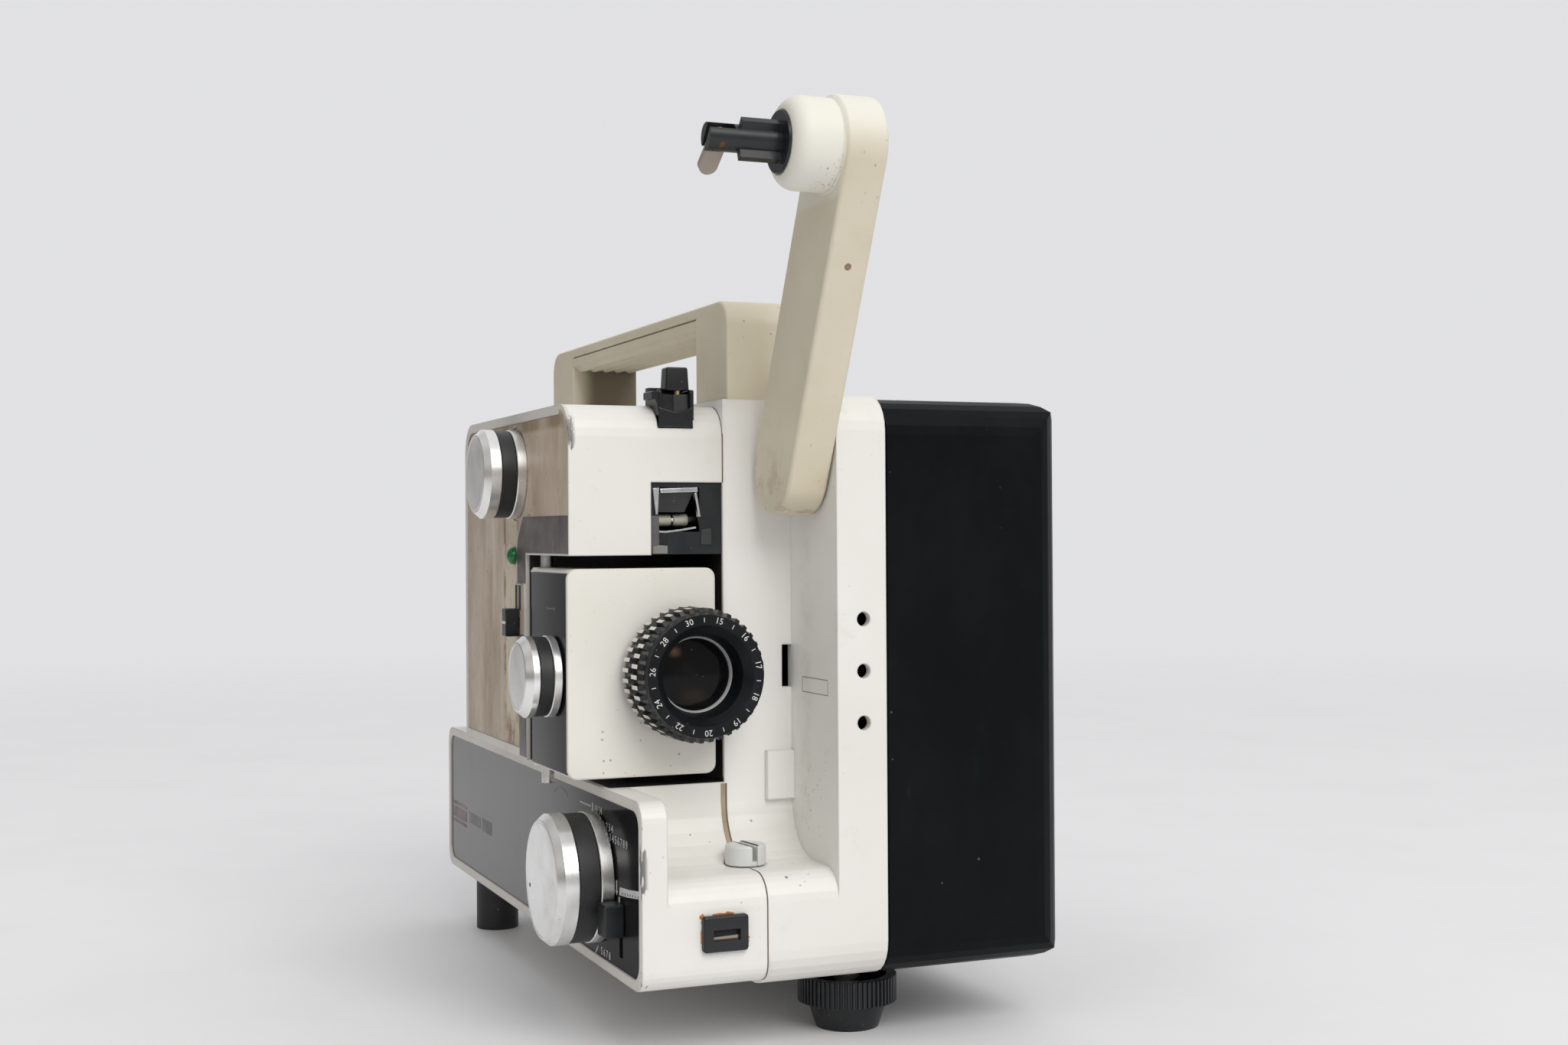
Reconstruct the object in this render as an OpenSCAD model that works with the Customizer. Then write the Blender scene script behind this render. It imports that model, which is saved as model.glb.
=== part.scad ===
// Small-gauge movie projector: ivory casting and boxes, black right cover, lens carrier that swings out,
// two folding reel arms and the drive inside. Front, with the lens, faces -Y; the control side faces -X.

/* [Body] */
// Length of the body, front to rear
body_len = 245; // [238:1:255]
// Height of the casting's underside above the table
floor_gap = 20; // [18:0.5:24]
// Height of the casting
casting_h = 173; // [170:1:180]
// Width of the centre casting
casting_w = 38.4; // [37:0.2:42]
// Wall of the casting
casting_wall = 3; // [2.5:0.25:3.5]
// Radius of the body's outer corners
corner_r = 11; // [8:0.5:13]
// Width of the black cover
cover_w = 61; // [59:0.5:70]
// How much lower the cover's top is than the casting's
cover_step = 1; // [0:0.25:3]
// Gap along the seam between casting and cover
seam_gap = 0.5; // [0.2:0.1:0.8]
// Wall of the cover and the boxes
shell_wall = 2.5; // [2:0.25:3]

/* [Control box] */
// Width of the lower control box
box_w = 38; // [37:0.5:42]
// Height of the lower control box
box_h = 54; // [52:0.5:58]
// Underside of the control box above the casting's
box_lift = 2; // [1:0.5:4]
// Rim round the control panel
panel_rim = 3; // [2:0.25:4]
// Thickness of the control panel
panel_t = 2; // [1.5:0.25:2.5]
// Corner radius of the control panel
panel_r = 5; // [3:0.5:7]
// Width of the column left of the scoop
column_w = 7.7; // [6:0.1:7.8]

/* [Front recess] */
// Width of the recess in the casting
recess_w = 22.5; // [21:0.5:23]
// Depth of the recess
recess_d = 35; // [33:0.5:37]
// Height of the scoop's floor above the table
scoop_z = 53; // [51:0.5:55]
// Radius of the scoop's hollow
scoop_r = 17; // [15:0.5:18]
// Radius of the scoop's lip
lip_r = 8; // [5:0.5:9]
// Diameter of the strip's holes
strip_hole_d = 4.3; // [3:0.1:5]
// Pitch of the strip's holes
strip_hole_pitch = 15.3; // [12:0.1:18]

/* [Film housing] */
// How far the film housing stands out past the control box
housing_out = 10.7; // [9:0.1:12]
// Rear face of the film housing
housing_rear = 168; // [166:0.5:172]
// Drop of the housing's top below the casting's
housing_step = 2; // [1:0.25:4]
// Gap between the film housing and the control box
housing_gap = 4; // [3.5:0.25:5]
// Depth of the side panel's pocket
side_pocket = 1; // [0.8:0.1:1.2]
// Width of the film window
window_w = 23; // [21:0.5:25]
// Height of the film window
window_h = 22; // [20:0.5:24]

/* [Lens carrier] */
// Width of the lens carrier
carrier_w = 46.6; // [46:0.2:48]
// Depth of the lens carrier
carrier_d = 46; // [45:0.5:47]
// Height of the lens carrier
carrier_h = 62.5; // [61:0.5:64]
// Gap under the lens carrier
carrier_gap = 3; // [2.5:0.25:3.5]
// Gap over the lens carrier
carrier_top_gap = 3.9; // [3:0.1:4.5]
// How far the lens carrier stands out past the control box
carrier_out = 11.3; // [11:0.1:12]
// Radius of the hinge pin
hinge_r = 2; // [1.5:0.1:2.5]

/* [Lens] */
// Lens axis, from the control box's left face
lens_x = 24.6; // [24:0.1:25]
// Lens axis above the carrier's underside
lens_rise = 31; // [30:0.25:32]
// Outer radius of the lens barrel's front
barrel_r = 15; // [14.5:0.1:15.2]
// Outer radius of the lens tube inside the carrier
tube_r = 9.6; // [9:0.05:9.6]
// Wall of the lens barrel
barrel_wall = 1.2; // [1:0.1:1.5]
// Outer radius of the zoom ring
ring_r = 20; // [19:0.1:20.2]
// Length of the zoom ring
ring_len = 19.2; // [18:0.2:20]
// Ribs round the zoom ring
ring_ribs = 36; // [24:1:40]
// Travel of the lens when focusing
focus_travel = 4; // [2:0.5:5]

/* [Knobs] */
// Radius of the mode knob
mode_r = 19.6; // [18:0.1:20]
// Length of the mode knob
mode_len = 17; // [15:0.5:20]
// Mode knob's axis, from the front
mode_y = 45; // [45:0.5:50]
// Mode knob's axis above the control box's underside
mode_rise = 26.5; // [25:0.5:28]
// Radius of the focus knob
focus_r = 12.3; // [10:0.1:14]
// Length of the focus knob
focus_len = 11; // [10:0.5:13]
// Radius of the inching knob
inching_r = 14.4; // [12:0.1:15]
// Length of the inching knob
inching_len = 14; // [12:0.5:16]
// Inching knob's axis, from the front
inching_y = 97; // [94:0.5:104]
// Inching knob's axis below the housing's top
inching_drop = 19.5; // [18.5:0.5:22]
// Thickness of a knob's rubber band
band_t = 1.8; // [1:0.1:2.5]
// Radius of the knob shafts
knob_shaft_r = 3; // [2:0.1:3.5]

/* [Reel arms] */
// Thickness of an arm
arm_t = 12.8; // [12:0.1:13]
// Width of an arm
arm_w = 28.6; // [27:0.2:29]
// Feed arm, pivot to spindle
feed_len = 98; // [96:0.5:100]
// Forward lean of the feed arm
feed_lean = 25.7; // [20:0.1:30]
// Take-up arm, pivot to spindle
takeup_len = 70; // [66:0.5:71]
// Radius of an arm's hub
hub_r = 13.5; // [12:0.1:13.8]
// Length of an arm's hub
hub_len = 14.2; // [13:0.1:15]
// Radius of an arm's pivot
pivot_r = 5; // [4:0.1:6]
// Radius over the spindle's wings
wing_r = 6.2; // [6:0.05:6.3]
// Radius of the spindle's rod
rod_r = 3.9; // [3.8:0.05:4]

/* [Handle] */
// Width of the handle
handle_w = 26; // [24:0.5:30]
// Height of the handle
handle_h = 31; // [28:0.5:34]
// Length of the handle
handle_len = 196; // [186:1:198]
// Length of each handle leg
handle_leg = 28; // [24:0.5:32]
// Thickness of the handle's grip
grip_t = 9; // [8:0.5:11]

/* [Feet] */
// Levelling foot, from the front
foot_y = 28; // [26:0.5:32]
// Radius of the levelling foot's ring
foot_ring_r = 15.3; // [13:0.1:16]
// Radius of the foot where it meets the table
foot_base_r = 9.7; // [8:0.1:11]
// Radius of the foot's stem
stem_r = 4; // [3:0.1:5]
// Radius of a rear foot
rear_foot_r = 8; // [6:0.1:9]

/* [Drive] */
// Radius of the shutter
shutter_r = 50; // [48:0.25:51]
// Radius of the main pulley
main_pulley_r = 22; // [18:0.5:24]
// Radius of the motor pulley
motor_pulley_r = 8; // [7:0.25:10]
// Radius of the motor
motor_r = 22; // [18:0.5:23]
// Radius of the fan
fan_r = 26; // [22:0.5:27]
// Thickness of the drive belt
belt_t = 2; // [1.5:0.25:2.5]
// Width of the drive belt
belt_w = 4; // [3:0.25:5]
// Radius of the lamp's reflector
lamp_r = 22; // [20:0.5:23]

/* [Clearances] */
// Radial clearance of shafts in their holes
run_fit = 0.05; // [0.03:0.01:0.08]
// Clearance between pieces that only sit together
seat_fit = 0.1; // [0.05:0.01:0.15]
// Clearance of pieces that move past each other
move_gap = 0.4; // [0.35:0.05:0.6]

/* [Hidden] */
$fn = 64;
eps = 0.5;

// Planes across the width
split_x = box_w;
seam_x = split_x + casting_w;
cover_x = seam_x + seam_gap;
right_x = cover_x + cover_w;
recess_x = split_x + recess_w;
web_x = split_x + casting_wall;
housing_x = -housing_out;
carrier_x = -carrier_out;

// Planes up the height
casting_z = floor_gap;
top_z = casting_z + casting_h;
box_z = casting_z + box_lift;
box_top_z = box_z + box_h;
housing_z = box_top_z + housing_gap;
housing_top_z = top_z - housing_step;
carrier_z = box_top_z + carrier_gap;
carrier_top_z = carrier_z + carrier_h;
bay_top_z = carrier_top_z + carrier_top_gap;
lens_z = carrier_z + lens_rise;

// Bay behind the lens carrier
gate_gap = 3;
gate_left = 13;
gate_right = 11;
gate_t = 1.4;
plate_left = 14;
plate_right = 7;
plate_reach = 22;
claw_out = 6;
claw_half = 1.5;
claw_t = 1.5;
claw_low = 22;
claw_high = 5;
claw_tip_low = 9;
claw_tip_high = 7.5;
claw_slot_low = 12;
claw_slot_high = 4;
bay_y = recess_d + carrier_d + gate_gap;
hinge_inset = 5.2;
hinge_x = carrier_x + hinge_inset;
hinge_y = recess_d + carrier_d - hinge_inset;
carrier_wall = 2.5;
carrier_r = 3;
knuckle_wall = 2.4;
side_panel_t = 1;
panel_edge = 1.4;

// Reel arms, with both spindles in one plane
arm_gap = 0.5;
arm_x = recess_x - arm_gap - arm_t;
hub_x = arm_x - hub_len;
feed_pivot_y = 18;
feed_pivot_z = top_z - 21.5;
feed_axis_y = feed_pivot_y - feed_len * sin(feed_lean);
feed_axis_z = feed_pivot_z + feed_len * cos(feed_lean);
takeup_pivot_y = body_len - feed_pivot_y;
takeup_pivot_z = top_z - 29;
takeup_axis_z = takeup_pivot_z - takeup_len;
notch_y = body_len - recess_d;
notch_z = 60;
notch_roof = 5;
pivot_skin = 2.5;
disc_r = 8.6;
disc_t = 1.5;
wing_len = 12;
tip_len = 9;
spindle_shaft_r = 4;
latch_t = 1.8;
latch_slot = 2.4;
latch_r = 2.7;
latch_len = 8.8;
latch_tilt = 7.5;
latch_turn = 42;
latch_pin_r = 1;
latch_inset = 3.8;
hub_round = 5;
hub_mouth = 1.2;
arm_skin = 3;
wing_t = 2.2;
disc_x = hub_x + hub_mouth - move_gap;
tip_x = disc_x - disc_t - wing_len - tip_len;
latch_x = tip_x + latch_inset;

// Feet
foot_x = seam_x - 0.9;
foot_boss = 13;
foot_boss_h = 25;
stem_clear = 2;
foot_cone_h = 8;
foot_ring_h = 8;
stem_top = 24;
rear_foot_y = 26;
rear_foot_inset = 13;
stem_z = foot_cone_h + 2;
foot_flare = 2.6;
foot_rib = 0.7;
foot_ribs = 60;
foot_wall = 3;

// Drive: the main shaft and the motor run front to rear
shutter_y = bay_y + shell_wall + 3.5;
shutter_t = 1;
shaft_r = 4;
shaft_out = 41.4;
shaft_rise = 16;
shaft_x = lens_x + shaft_out;
shaft_z = lens_z + shaft_rise;
motor_shaft_r = 2.5;
motor_out = 39;
motor_drop = 64;
motor_x = shaft_x + motor_out;
motor_z = shaft_z - motor_drop;
motor_y = 128;
motor_len = 34;
motor_gap = 4;
pulley_y = motor_y + motor_len + motor_gap;
pulley_w = 8;
belt_gap = 0.3;
belt_y = pulley_y + (pulley_w - belt_w) / 2;
groove = 2;
bracket_t = 8;
bracket_ys = [shutter_y + 8, 153];
lamp_y = 118;
lamp_len = 30;
chassis_x = cover_x + 1.1;
chassis_t = 1.5;
chassis_y = 122;
chassis_rear = body_len - 22;
fan_w = 10;
fan_gap = 12;
fan_y = motor_y - fan_gap - fan_w;
fan_hub_r = 8;
blade_t = 1.4;
slit_gap = 2;
lamp_gap = 4;
lamp_neck = 8;
lamp_neck_r = 6;
socket_half = 10;
shaft_end = 2;
shutter_hub_r = 14;
shutter_span = 60;
shutter_over = 6;
bracket_half = 7;
chassis_flange = 18;
motor_pad = 12;
core_y = 186;
core_rear = body_len - 14;
core_w = 44;
core_h = 40;
coil_inset = 8;
coil_out = 5;

// Lens parts measured forward from the carrier's face
ring_back = 0.6;
ring_y = recess_d - ring_back - ring_len;
front_ring_t = 1.7;
barrel_front = ring_y + 1.5;
sleeve_wall = 1;
sleeve_len = 34;
barrel_rear = recess_d + sleeve_len - 1 + focus_travel;
rib_rows = 2;
rib_depth = 1.4;
rib_gap = 0.3;
rib_steps = [0, 0.12, 0.5, 0.62];
ring_rim = 1.4;
glass_y = ring_y + 7;
glass_r = barrel_r - barrel_wall - run_fit;
glass_t = 3;
glass_rise = 2;

// Small pieces
light_hole_r = 12.5;
strip_x = seam_x - 7.4;
slot_w = 3.2;
slot_drop = 5.7;
slot_rise = 7.4;
step_w = 9;
step_d = 2;
step_h = 15;
box_r = 6;
housing_r = 10;
housing_inner_x = housing_x + 8;
inlet_w = 10.9;
inlet_x = lens_x - 1.55 - inlet_w / 2;
inlet_d = 13.4;
inlet_y = recess_d - 0.4;
inlet_z = housing_top_z - 7;
inlet_top_z = housing_top_z + 4;
inlet_lip = 0.8;
inlet_slot = 0.7;
inlet_cheek = 0.9;
cheek_d = 2.6;
ear_w = 2.1;
ear_y = inlet_y + 1.5;
ear_rear = inlet_y + 9;
mouth_z = inlet_top_z - 5.2;
button_travel = 2.6;
button_w = 7.5;
button_d = 6;
button_h = 7.2;
button_x = inlet_x + 3.3;
button_y = inlet_y + cheek_d + move_gap;
button_pin_r = 1.2;
button_z = inlet_top_z + move_gap;
inlet_seat_z = inlet_top_z - button_travel;
inlet_fit = 0.2;
film_half = 5.2;
gate_hole_r = 4.2;
guide_bar = 1.8;
guide_t = 2;
guide_h = 9.6;
chamber_wall = 1.2;
chamber_d = 38;
window_x = split_x - window_w;
chamber_x = window_x + 1.4;
chamber_right = window_x + 15.8;
chamber_z = bay_top_z + 7;
chamber_top = bay_top_z + window_h - 1.5;
roller_y = recess_d + 9;
roller_z = bay_top_z + 10.6;
roller_shaft_r = 1.5;
roller_r = 3.2;
roller_mid_r = 2.3;
roller_rest = 9.9;
roller_half = 4.8;
roller_split = 0.4;
trimmer_w = 13.8;
trimmer_h = 10.4;
trimmer_z = box_z + 10.6;
trimmer_t = 2;
trimmer_neck = 4.7;
trimmer_neck_h = 3.4;
trimmer_mid_z = trimmer_z + trimmer_h / 2;
framing_x = 39;
framing_y = 20;
framing_r = 6.1;
framing_h = 5.5;
framing_stem = 11;
framing_slot = 0.9;
lever_y = 21.2;
lever_w = 7.6;
lever_h = 9.5;
lever_z = box_z + 13;
lever_travel = 8;
lever_out = 5.6;
tang_w = 2.4;
tang_inset = 3;
panel_face = 0.5;
panel_drop = 0.2;
slider_y = 95;
slider_z = housing_z + 39;
slider_h = 9;
slider_w = 5;
slider_travel = 9;
slider_out = 4.6;
jewel_y = 99;
jewel_rise = 65;
jewel_z = housing_z + jewel_rise;
jewel_r = 2.8;
jewel_stem_r = 2;
inching_z = housing_top_z - inching_drop;
mode_z = box_z + mode_rise;
focus_y = recess_d + 15;
focus_z = lens_z - 1;

// Knobs: where each starts, and its groove
knob_bevel = 1.9;
band_drop = 0.3;
mode_x = panel_face - move_gap;
mode_base = 4;
mode_band = 6.5;
focus_x = carrier_x - move_gap;
focus_base = 2.6;
focus_band = 4.2;
inching_x = housing_x + side_pocket - move_gap;
inching_base = 3.4;
inching_band = 5;
inching_end_x = housing_x + 14;

// Handle, cover screws and mains socket
handle_x = split_x + 2;
handle_y = recess_d + 1;
handle_out_r = 8;
handle_in_r = 5;
post_r = 4;
post_inset = 14;
post_low_z = casting_z + post_inset + 42;
screw_r = 1.6;
screw_len = 18;
screw_head_r = 3;
screw_head_t = 2;
head_x = right_x - screw_head_t - 0.5;
socket_w = 22;
socket_d = 12;
socket_h = 16;
socket_wall = 3;
socket_back = 10;
socket_rise = 42;
socket_x = motor_x - socket_back;
socket_z = motor_z + socket_rise;

// The origin lies under the middle of the whole object, on the table
inching_face_x = inching_x - inching_len;
mid_x = (inching_face_x + right_x) / 2;
mid_y = (feed_axis_y - arm_w / 2 + body_len) / 2;

ivory = "#e9e7df";
cream = "#e0d9c4";
black = "#1c1d20";
steel = "#a9abad";
alloy = "#c9cacb";

// Points and outlines
function arc(c, r, a0, a1, n = 6) =
    [for (i = [0:n]) c + r * [cos(a0 + (a1 - a0) * i / n), sin(a0 + (a1 - a0) * i / n)]];
function round_box(a, b, r) = concat(
    arc([b[0] - r, b[1] - r], r, 0, 90), arc([a[0] + r, b[1] - r], r, 90, 180),
    arc([a[0] + r, a[1] + r], r, 180, 270), arc([b[0] - r, a[1] + r], r, 270, 360));

// Placing shapes along an axis
module place() translate([-mid_x, -mid_y, 0]) children();
module along_x(x0, x1) translate([x0, 0, 0]) rotate([90, 0, 90]) linear_extrude(x1 - x0) children();
module along_y(y0, y1) translate([0, y1, 0]) rotate([90, 0, 0]) linear_extrude(y1 - y0) children();
module along_z(z0, z1) translate([0, 0, z0]) linear_extrude(z1 - z0) children();
module rod_x(x0, x1, y, z, r) translate([x0, y, z]) rotate([0, 90, 0]) cylinder(r = r, h = x1 - x0);
module rod_y(y0, y1, x, z, r) translate([x, y0, z]) rotate([-90, 0, 0]) cylinder(r = r, h = y1 - y0);
module rod_z(z0, z1, x, y, r) translate([x, y, z0]) cylinder(r = r, h = z1 - z0);
module block(a, b) translate(a) cube(b - a);
module turned_left(x, y, z, profile)
    translate([x, y, z]) rotate([0, -90, 0]) rotate_extrude() polygon(profile);
module turned_front(x, y, z, profile)
    translate([x, y, z]) rotate([90, 0, 0]) rotate_extrude() polygon(profile);

// Side outline of the recess with the scoop below it, open at the front and the top
module recess_outline(top) polygon(concat(
    [[-eps, scoop_z - lip_r], [0, scoop_z - lip_r]],
    arc([lip_r, scoop_z - lip_r], lip_r, 180, 90),
    arc([recess_d - scoop_r, scoop_z + scoop_r], scoop_r, 270, 360),
    [[recess_d, top], [-eps, top]]));

// Casting: a shell open to the right, with a web on the left
module casting_cavity() {
    r = corner_r - casting_wall;
    lo = casting_z + casting_wall;
    hi = top_z - casting_wall;
    along_x(web_x, seam_x + eps)
        polygon(round_box([recess_d + casting_wall, lo], [notch_y - casting_wall, hi], r));
    along_x(recess_x + casting_wall, seam_x + eps)
        polygon(round_box([casting_wall, lo], [body_len - casting_wall, hi], r));
    along_x(web_x, seam_x + eps) polygon(round_box([recess_d + casting_wall, lo],
        [body_len - casting_wall, notch_z - casting_wall], r));
    along_x(web_x, recess_x + casting_wall + eps) polygon(round_box([casting_wall, lo],
        [recess_d + casting_wall + corner_r, scoop_z - lip_r - 1], r));
}
module web_windows() {
    block([split_x - eps, shutter_y - slit_gap, shaft_z - shutter_r + lamp_gap],
        [web_x + eps, shutter_y + shutter_t + slit_gap, shaft_z + shutter_r - lamp_gap]);
    block([split_x - eps, lamp_y - slit_gap, lens_z - lamp_r - lamp_gap],
        [web_x + eps, lamp_y + lamp_len + slit_gap, lens_z + lamp_r + lamp_gap]);
}
module strip_holes() {
    for (i = [-1:1]) {
        rod_y(-eps, casting_wall + eps, strip_x, lens_z + 1 + i * strip_hole_pitch, strip_hole_d / 2);
    }
}
// Slot in the recess's rear wall, and the step under it
module recess_slot() block([recess_x - slot_w, recess_d - eps, lens_z - slot_drop],
    [recess_x, recess_d + casting_wall + eps, lens_z + slot_rise]);
module recess_step() block([recess_x - step_w, recess_d - step_d, scoop_z + scoop_r],
    [recess_x, recess_d, scoop_z + scoop_r + step_h]);
module foot_hole(z1, r) rod_z(casting_z - eps, z1, foot_x, foot_y, r);
module main_casting() color(ivory) place() difference() {
    union() {
        difference() {
            along_x(split_x, seam_x) polygon(round_box([0, casting_z], [body_len, top_z], corner_r));
            casting_cavity();
            along_x(split_x - eps, recess_x) recess_outline(top_z + eps);
            block([split_x - eps, notch_y, notch_z], [recess_x, body_len + eps, top_z - notch_roof]);
            web_windows();
            strip_holes();
            recess_slot();
        }
        recess_step();
        block([foot_x - foot_boss, foot_y - foot_boss, casting_z + casting_wall],
            [foot_x + foot_boss, foot_y + foot_boss, casting_z + casting_wall + foot_boss_h]);
    }
    foot_hole(casting_z + casting_wall, stem_r + stem_clear);
    foot_hole(top_z / 2, stem_r + run_fit);
    rod_x(recess_x - eps, recess_x + casting_wall + eps, feed_pivot_y, feed_pivot_z, pivot_r + run_fit);
    rod_x(recess_x - eps, recess_x + casting_wall + eps, takeup_pivot_y, takeup_pivot_z, pivot_r + run_fit);
    framing_seat();
}
// Seat of the framing knob: a round hollow in the scoop and a hole for its stem
module framing_seat() {
    rod_z(scoop_z, scoop_z + framing_r, framing_x, framing_y, framing_r + move_gap);
    rod_z(scoop_z - framing_stem - 1, scoop_z + eps, framing_x, framing_y, knob_shaft_r + run_fit);
}

// Cover: a deep shell open to the left, on four posts
module cover_outline(inset) {
    r = corner_r - inset;
    y0 = inset;
    y1 = body_len - inset;
    z0 = casting_z + inset;
    z1 = top_z - cover_step - inset;
    x0 = inset > 0 ? cover_x - corner_r : cover_x;
    x1 = right_x - inset;
    intersection() {
        along_x(x0, x1) polygon(round_box([y0, z0], [y1, z1], r));
        along_z(z0, z1) polygon(round_box([x0 - 2 * r, y0], [x1, y1], r));
        along_y(y0, y1) polygon(round_box([x0 - 2 * r, z0], [x1, z1], r));
    }
}
function post_places() = [for (y = [post_inset, body_len - post_inset])
    for (z = [post_low_z, top_z - cover_step - post_inset]) [y, z]];
module right_cover() color(black) place() difference() {
    union() {
        difference() {
            cover_outline(0);
            cover_outline(shell_wall);
        }
        for (p = post_places()) {
            rod_x(cover_x + 1, right_x - shell_wall, p[0], p[1], post_r);
        }
    }
    for (p = post_places()) {
        rod_x(head_x, right_x + eps, p[0], p[1], screw_head_r + seat_fit);
        rod_x(right_x - screw_len - 2, right_x, p[0], p[1], screw_r + seat_fit);
    }
    foot_hole(casting_z + casting_wall + 2, stem_r + stem_clear);
    block([socket_x - seat_fit, body_len - shell_wall - eps, socket_z - seat_fit],
        [socket_x + socket_w + seat_fit, body_len + eps, socket_z + socket_h + seat_fit]);
}
module cover_screws() color(steel) place() {
    for (p = post_places()) {
        rod_x(head_x, head_x + screw_head_t, p[0], p[1], screw_head_r);
        rod_x(right_x - screw_len, head_x + eps, p[0], p[1], screw_r);
    }
}
module mains_inlet() color(black) place() difference() {
    block([socket_x, body_len - socket_d, socket_z], [socket_x + socket_w, body_len, socket_z + socket_h]);
    block([socket_x + socket_wall, body_len - socket_d + socket_wall, socket_z + socket_wall],
        [socket_x + socket_w - socket_wall, body_len + eps, socket_z + socket_h - socket_wall]);
}

// Upper film housing: an angled shell round the lens carrier's bay, open to the casting's web
module housing_outline(inset) {
    r = housing_r - inset;
    y0 = recess_d + inset;
    y1 = housing_rear - inset;
    z1 = housing_top_z - inset;
    polygon(concat(arc([y1 - r, z1 - r], r, 0, 90), arc([y0 + r, z1 - r], r, 90, 180),
        [[y0, bay_top_z + inset], [bay_y + inset, bay_top_z + inset], [bay_y + inset, housing_z + inset],
         [y1, housing_z + inset]]));
}
module inlet_cut() block([inlet_x - inlet_fit, inlet_y - eps, inlet_z - inlet_fit],
    [inlet_x + inlet_w + inlet_fit, inlet_y + inlet_d + inlet_fit, inlet_top_z + eps]);
module film_housing() color(ivory) place() difference() {
    along_x(housing_x, split_x) housing_outline(0);
    along_x(housing_x + side_pocket + shell_wall, split_x + eps) housing_outline(shell_wall);
    along_x(housing_x - eps, housing_x + side_pocket) housing_outline(panel_rim);
    block([window_x, recess_d - eps, bay_top_z - eps],
        [split_x + eps, recess_d + shell_wall + eps, bay_top_z + window_h]);
    block([window_x, recess_d - eps, bay_top_z - eps],
        [split_x + eps, recess_d + chamber_d, bay_top_z + shell_wall + eps]);
    inlet_cut();
    rod_y(bay_y - eps, bay_y + shell_wall + eps, lens_x, lens_z, light_hole_r);
    rod_x(housing_x - eps, housing_inner_x, inching_y, inching_z, knob_shaft_r + run_fit);
    rod_x(housing_x - eps, housing_inner_x, jewel_y, jewel_z, jewel_stem_r + seat_fit);
    slider_slot();
    rod_z(bay_top_z - eps, bay_top_z + shell_wall + eps, hinge_x, hinge_y, hinge_r + seat_fit);
}
module slider_slot() {
    half = tang_w / 2 + move_gap;
    block([housing_x - eps, slider_y - half, slider_z + tang_inset / 2],
        [housing_inner_x, slider_y + half, slider_z + slider_h + slider_travel - tang_inset / 2]);
}
module film_side_panel() color("#a2998c") place() difference() {
    along_x(housing_x + panel_drop, housing_x + side_pocket) housing_outline(panel_rim + seat_fit);
    rod_x(housing_x - eps, housing_inner_x, inching_y, inching_z, inching_r + 2 * move_gap);
    rod_x(housing_x - eps, housing_inner_x, jewel_y, jewel_z, jewel_r + seat_fit);
    slider_slot();
}

// Control box: a shell with the same scoop as the casting, open to the web
module control_outline(inset, r)
    polygon(round_box([inset, box_z + inset], [body_len - inset, box_top_z - inset], r));
module control_box() color(ivory) place() {
    difference() {
        along_x(0, split_x) control_outline(0, box_r);
        difference() {
            along_x(panel_t + shell_wall, split_x + eps) control_outline(shell_wall, box_r - shell_wall);
            block([panel_t, -eps, box_z], [split_x + 1, recess_d + shell_wall, scoop_z + scoop_r]);
            block([panel_t, recess_d, box_z], [split_x + 1, recess_d + shell_wall, box_top_z]);
        }
        block([panel_t + shell_wall, shell_wall, box_z + shell_wall],
            [split_x + eps, recess_d, scoop_z - lip_r - 1]);
        along_x(column_w, split_x + eps) recess_outline(box_top_z + eps);
        along_x(-eps, panel_t) control_outline(panel_rim, panel_r);
        rod_x(-eps, 2 * (panel_t + shell_wall), mode_y, mode_z, knob_shaft_r + run_fit);
        lever_slot(2 * (panel_t + shell_wall));
        trimmer_box(trimmer_neck + seat_fit, trimmer_neck_h / 2 + seat_fit, -eps, shell_wall + eps);
        block([lens_x - film_half, bay_y - 13, box_top_z - shell_wall - eps],
            [lens_x + film_half, bay_y - gate_gap, box_top_z + eps]);
        rod_z(box_top_z - shell_wall - eps, box_top_z + eps, hinge_x, hinge_y, hinge_r + seat_fit);
        framing_seat();
    }
}
module lever_slot(depth) {
    half = tang_w / 2 + move_gap;
    block([-eps, lever_y - half, lever_z + tang_inset / 2 - lever_travel],
        [depth, lever_y + half, lever_z + lever_h - tang_inset / 2]);
}
module control_panel() color("#2c2d31") place() difference() {
    along_x(panel_face, panel_t) control_outline(panel_rim + seat_fit, panel_r - seat_fit);
    rod_x(-eps, panel_t + eps, mode_y, mode_z, knob_shaft_r + run_fit);
    lever_slot(panel_t + eps);
}

// Handle on the casting's top
module carry_handle() color(cream) place() {
    ro = handle_out_r;
    ri = handle_in_r;
    hi = top_z + handle_h;
    rear = handle_y + handle_len;
    along_x(handle_x, handle_x + handle_w) polygon(concat(
        arc([rear - ro, hi - ro], ro, 0, 90), arc([handle_y + ro, hi - ro], ro, 90, 180),
        [[handle_y, top_z], [handle_y + handle_leg, top_z]],
        arc([handle_y + handle_leg + ri, hi - grip_t - ri], ri, 180, 90),
        arc([rear - handle_leg - ri, hi - grip_t - ri], ri, 90, 0),
        [[rear - handle_leg, top_z], [rear, top_z]]));
}

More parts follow.
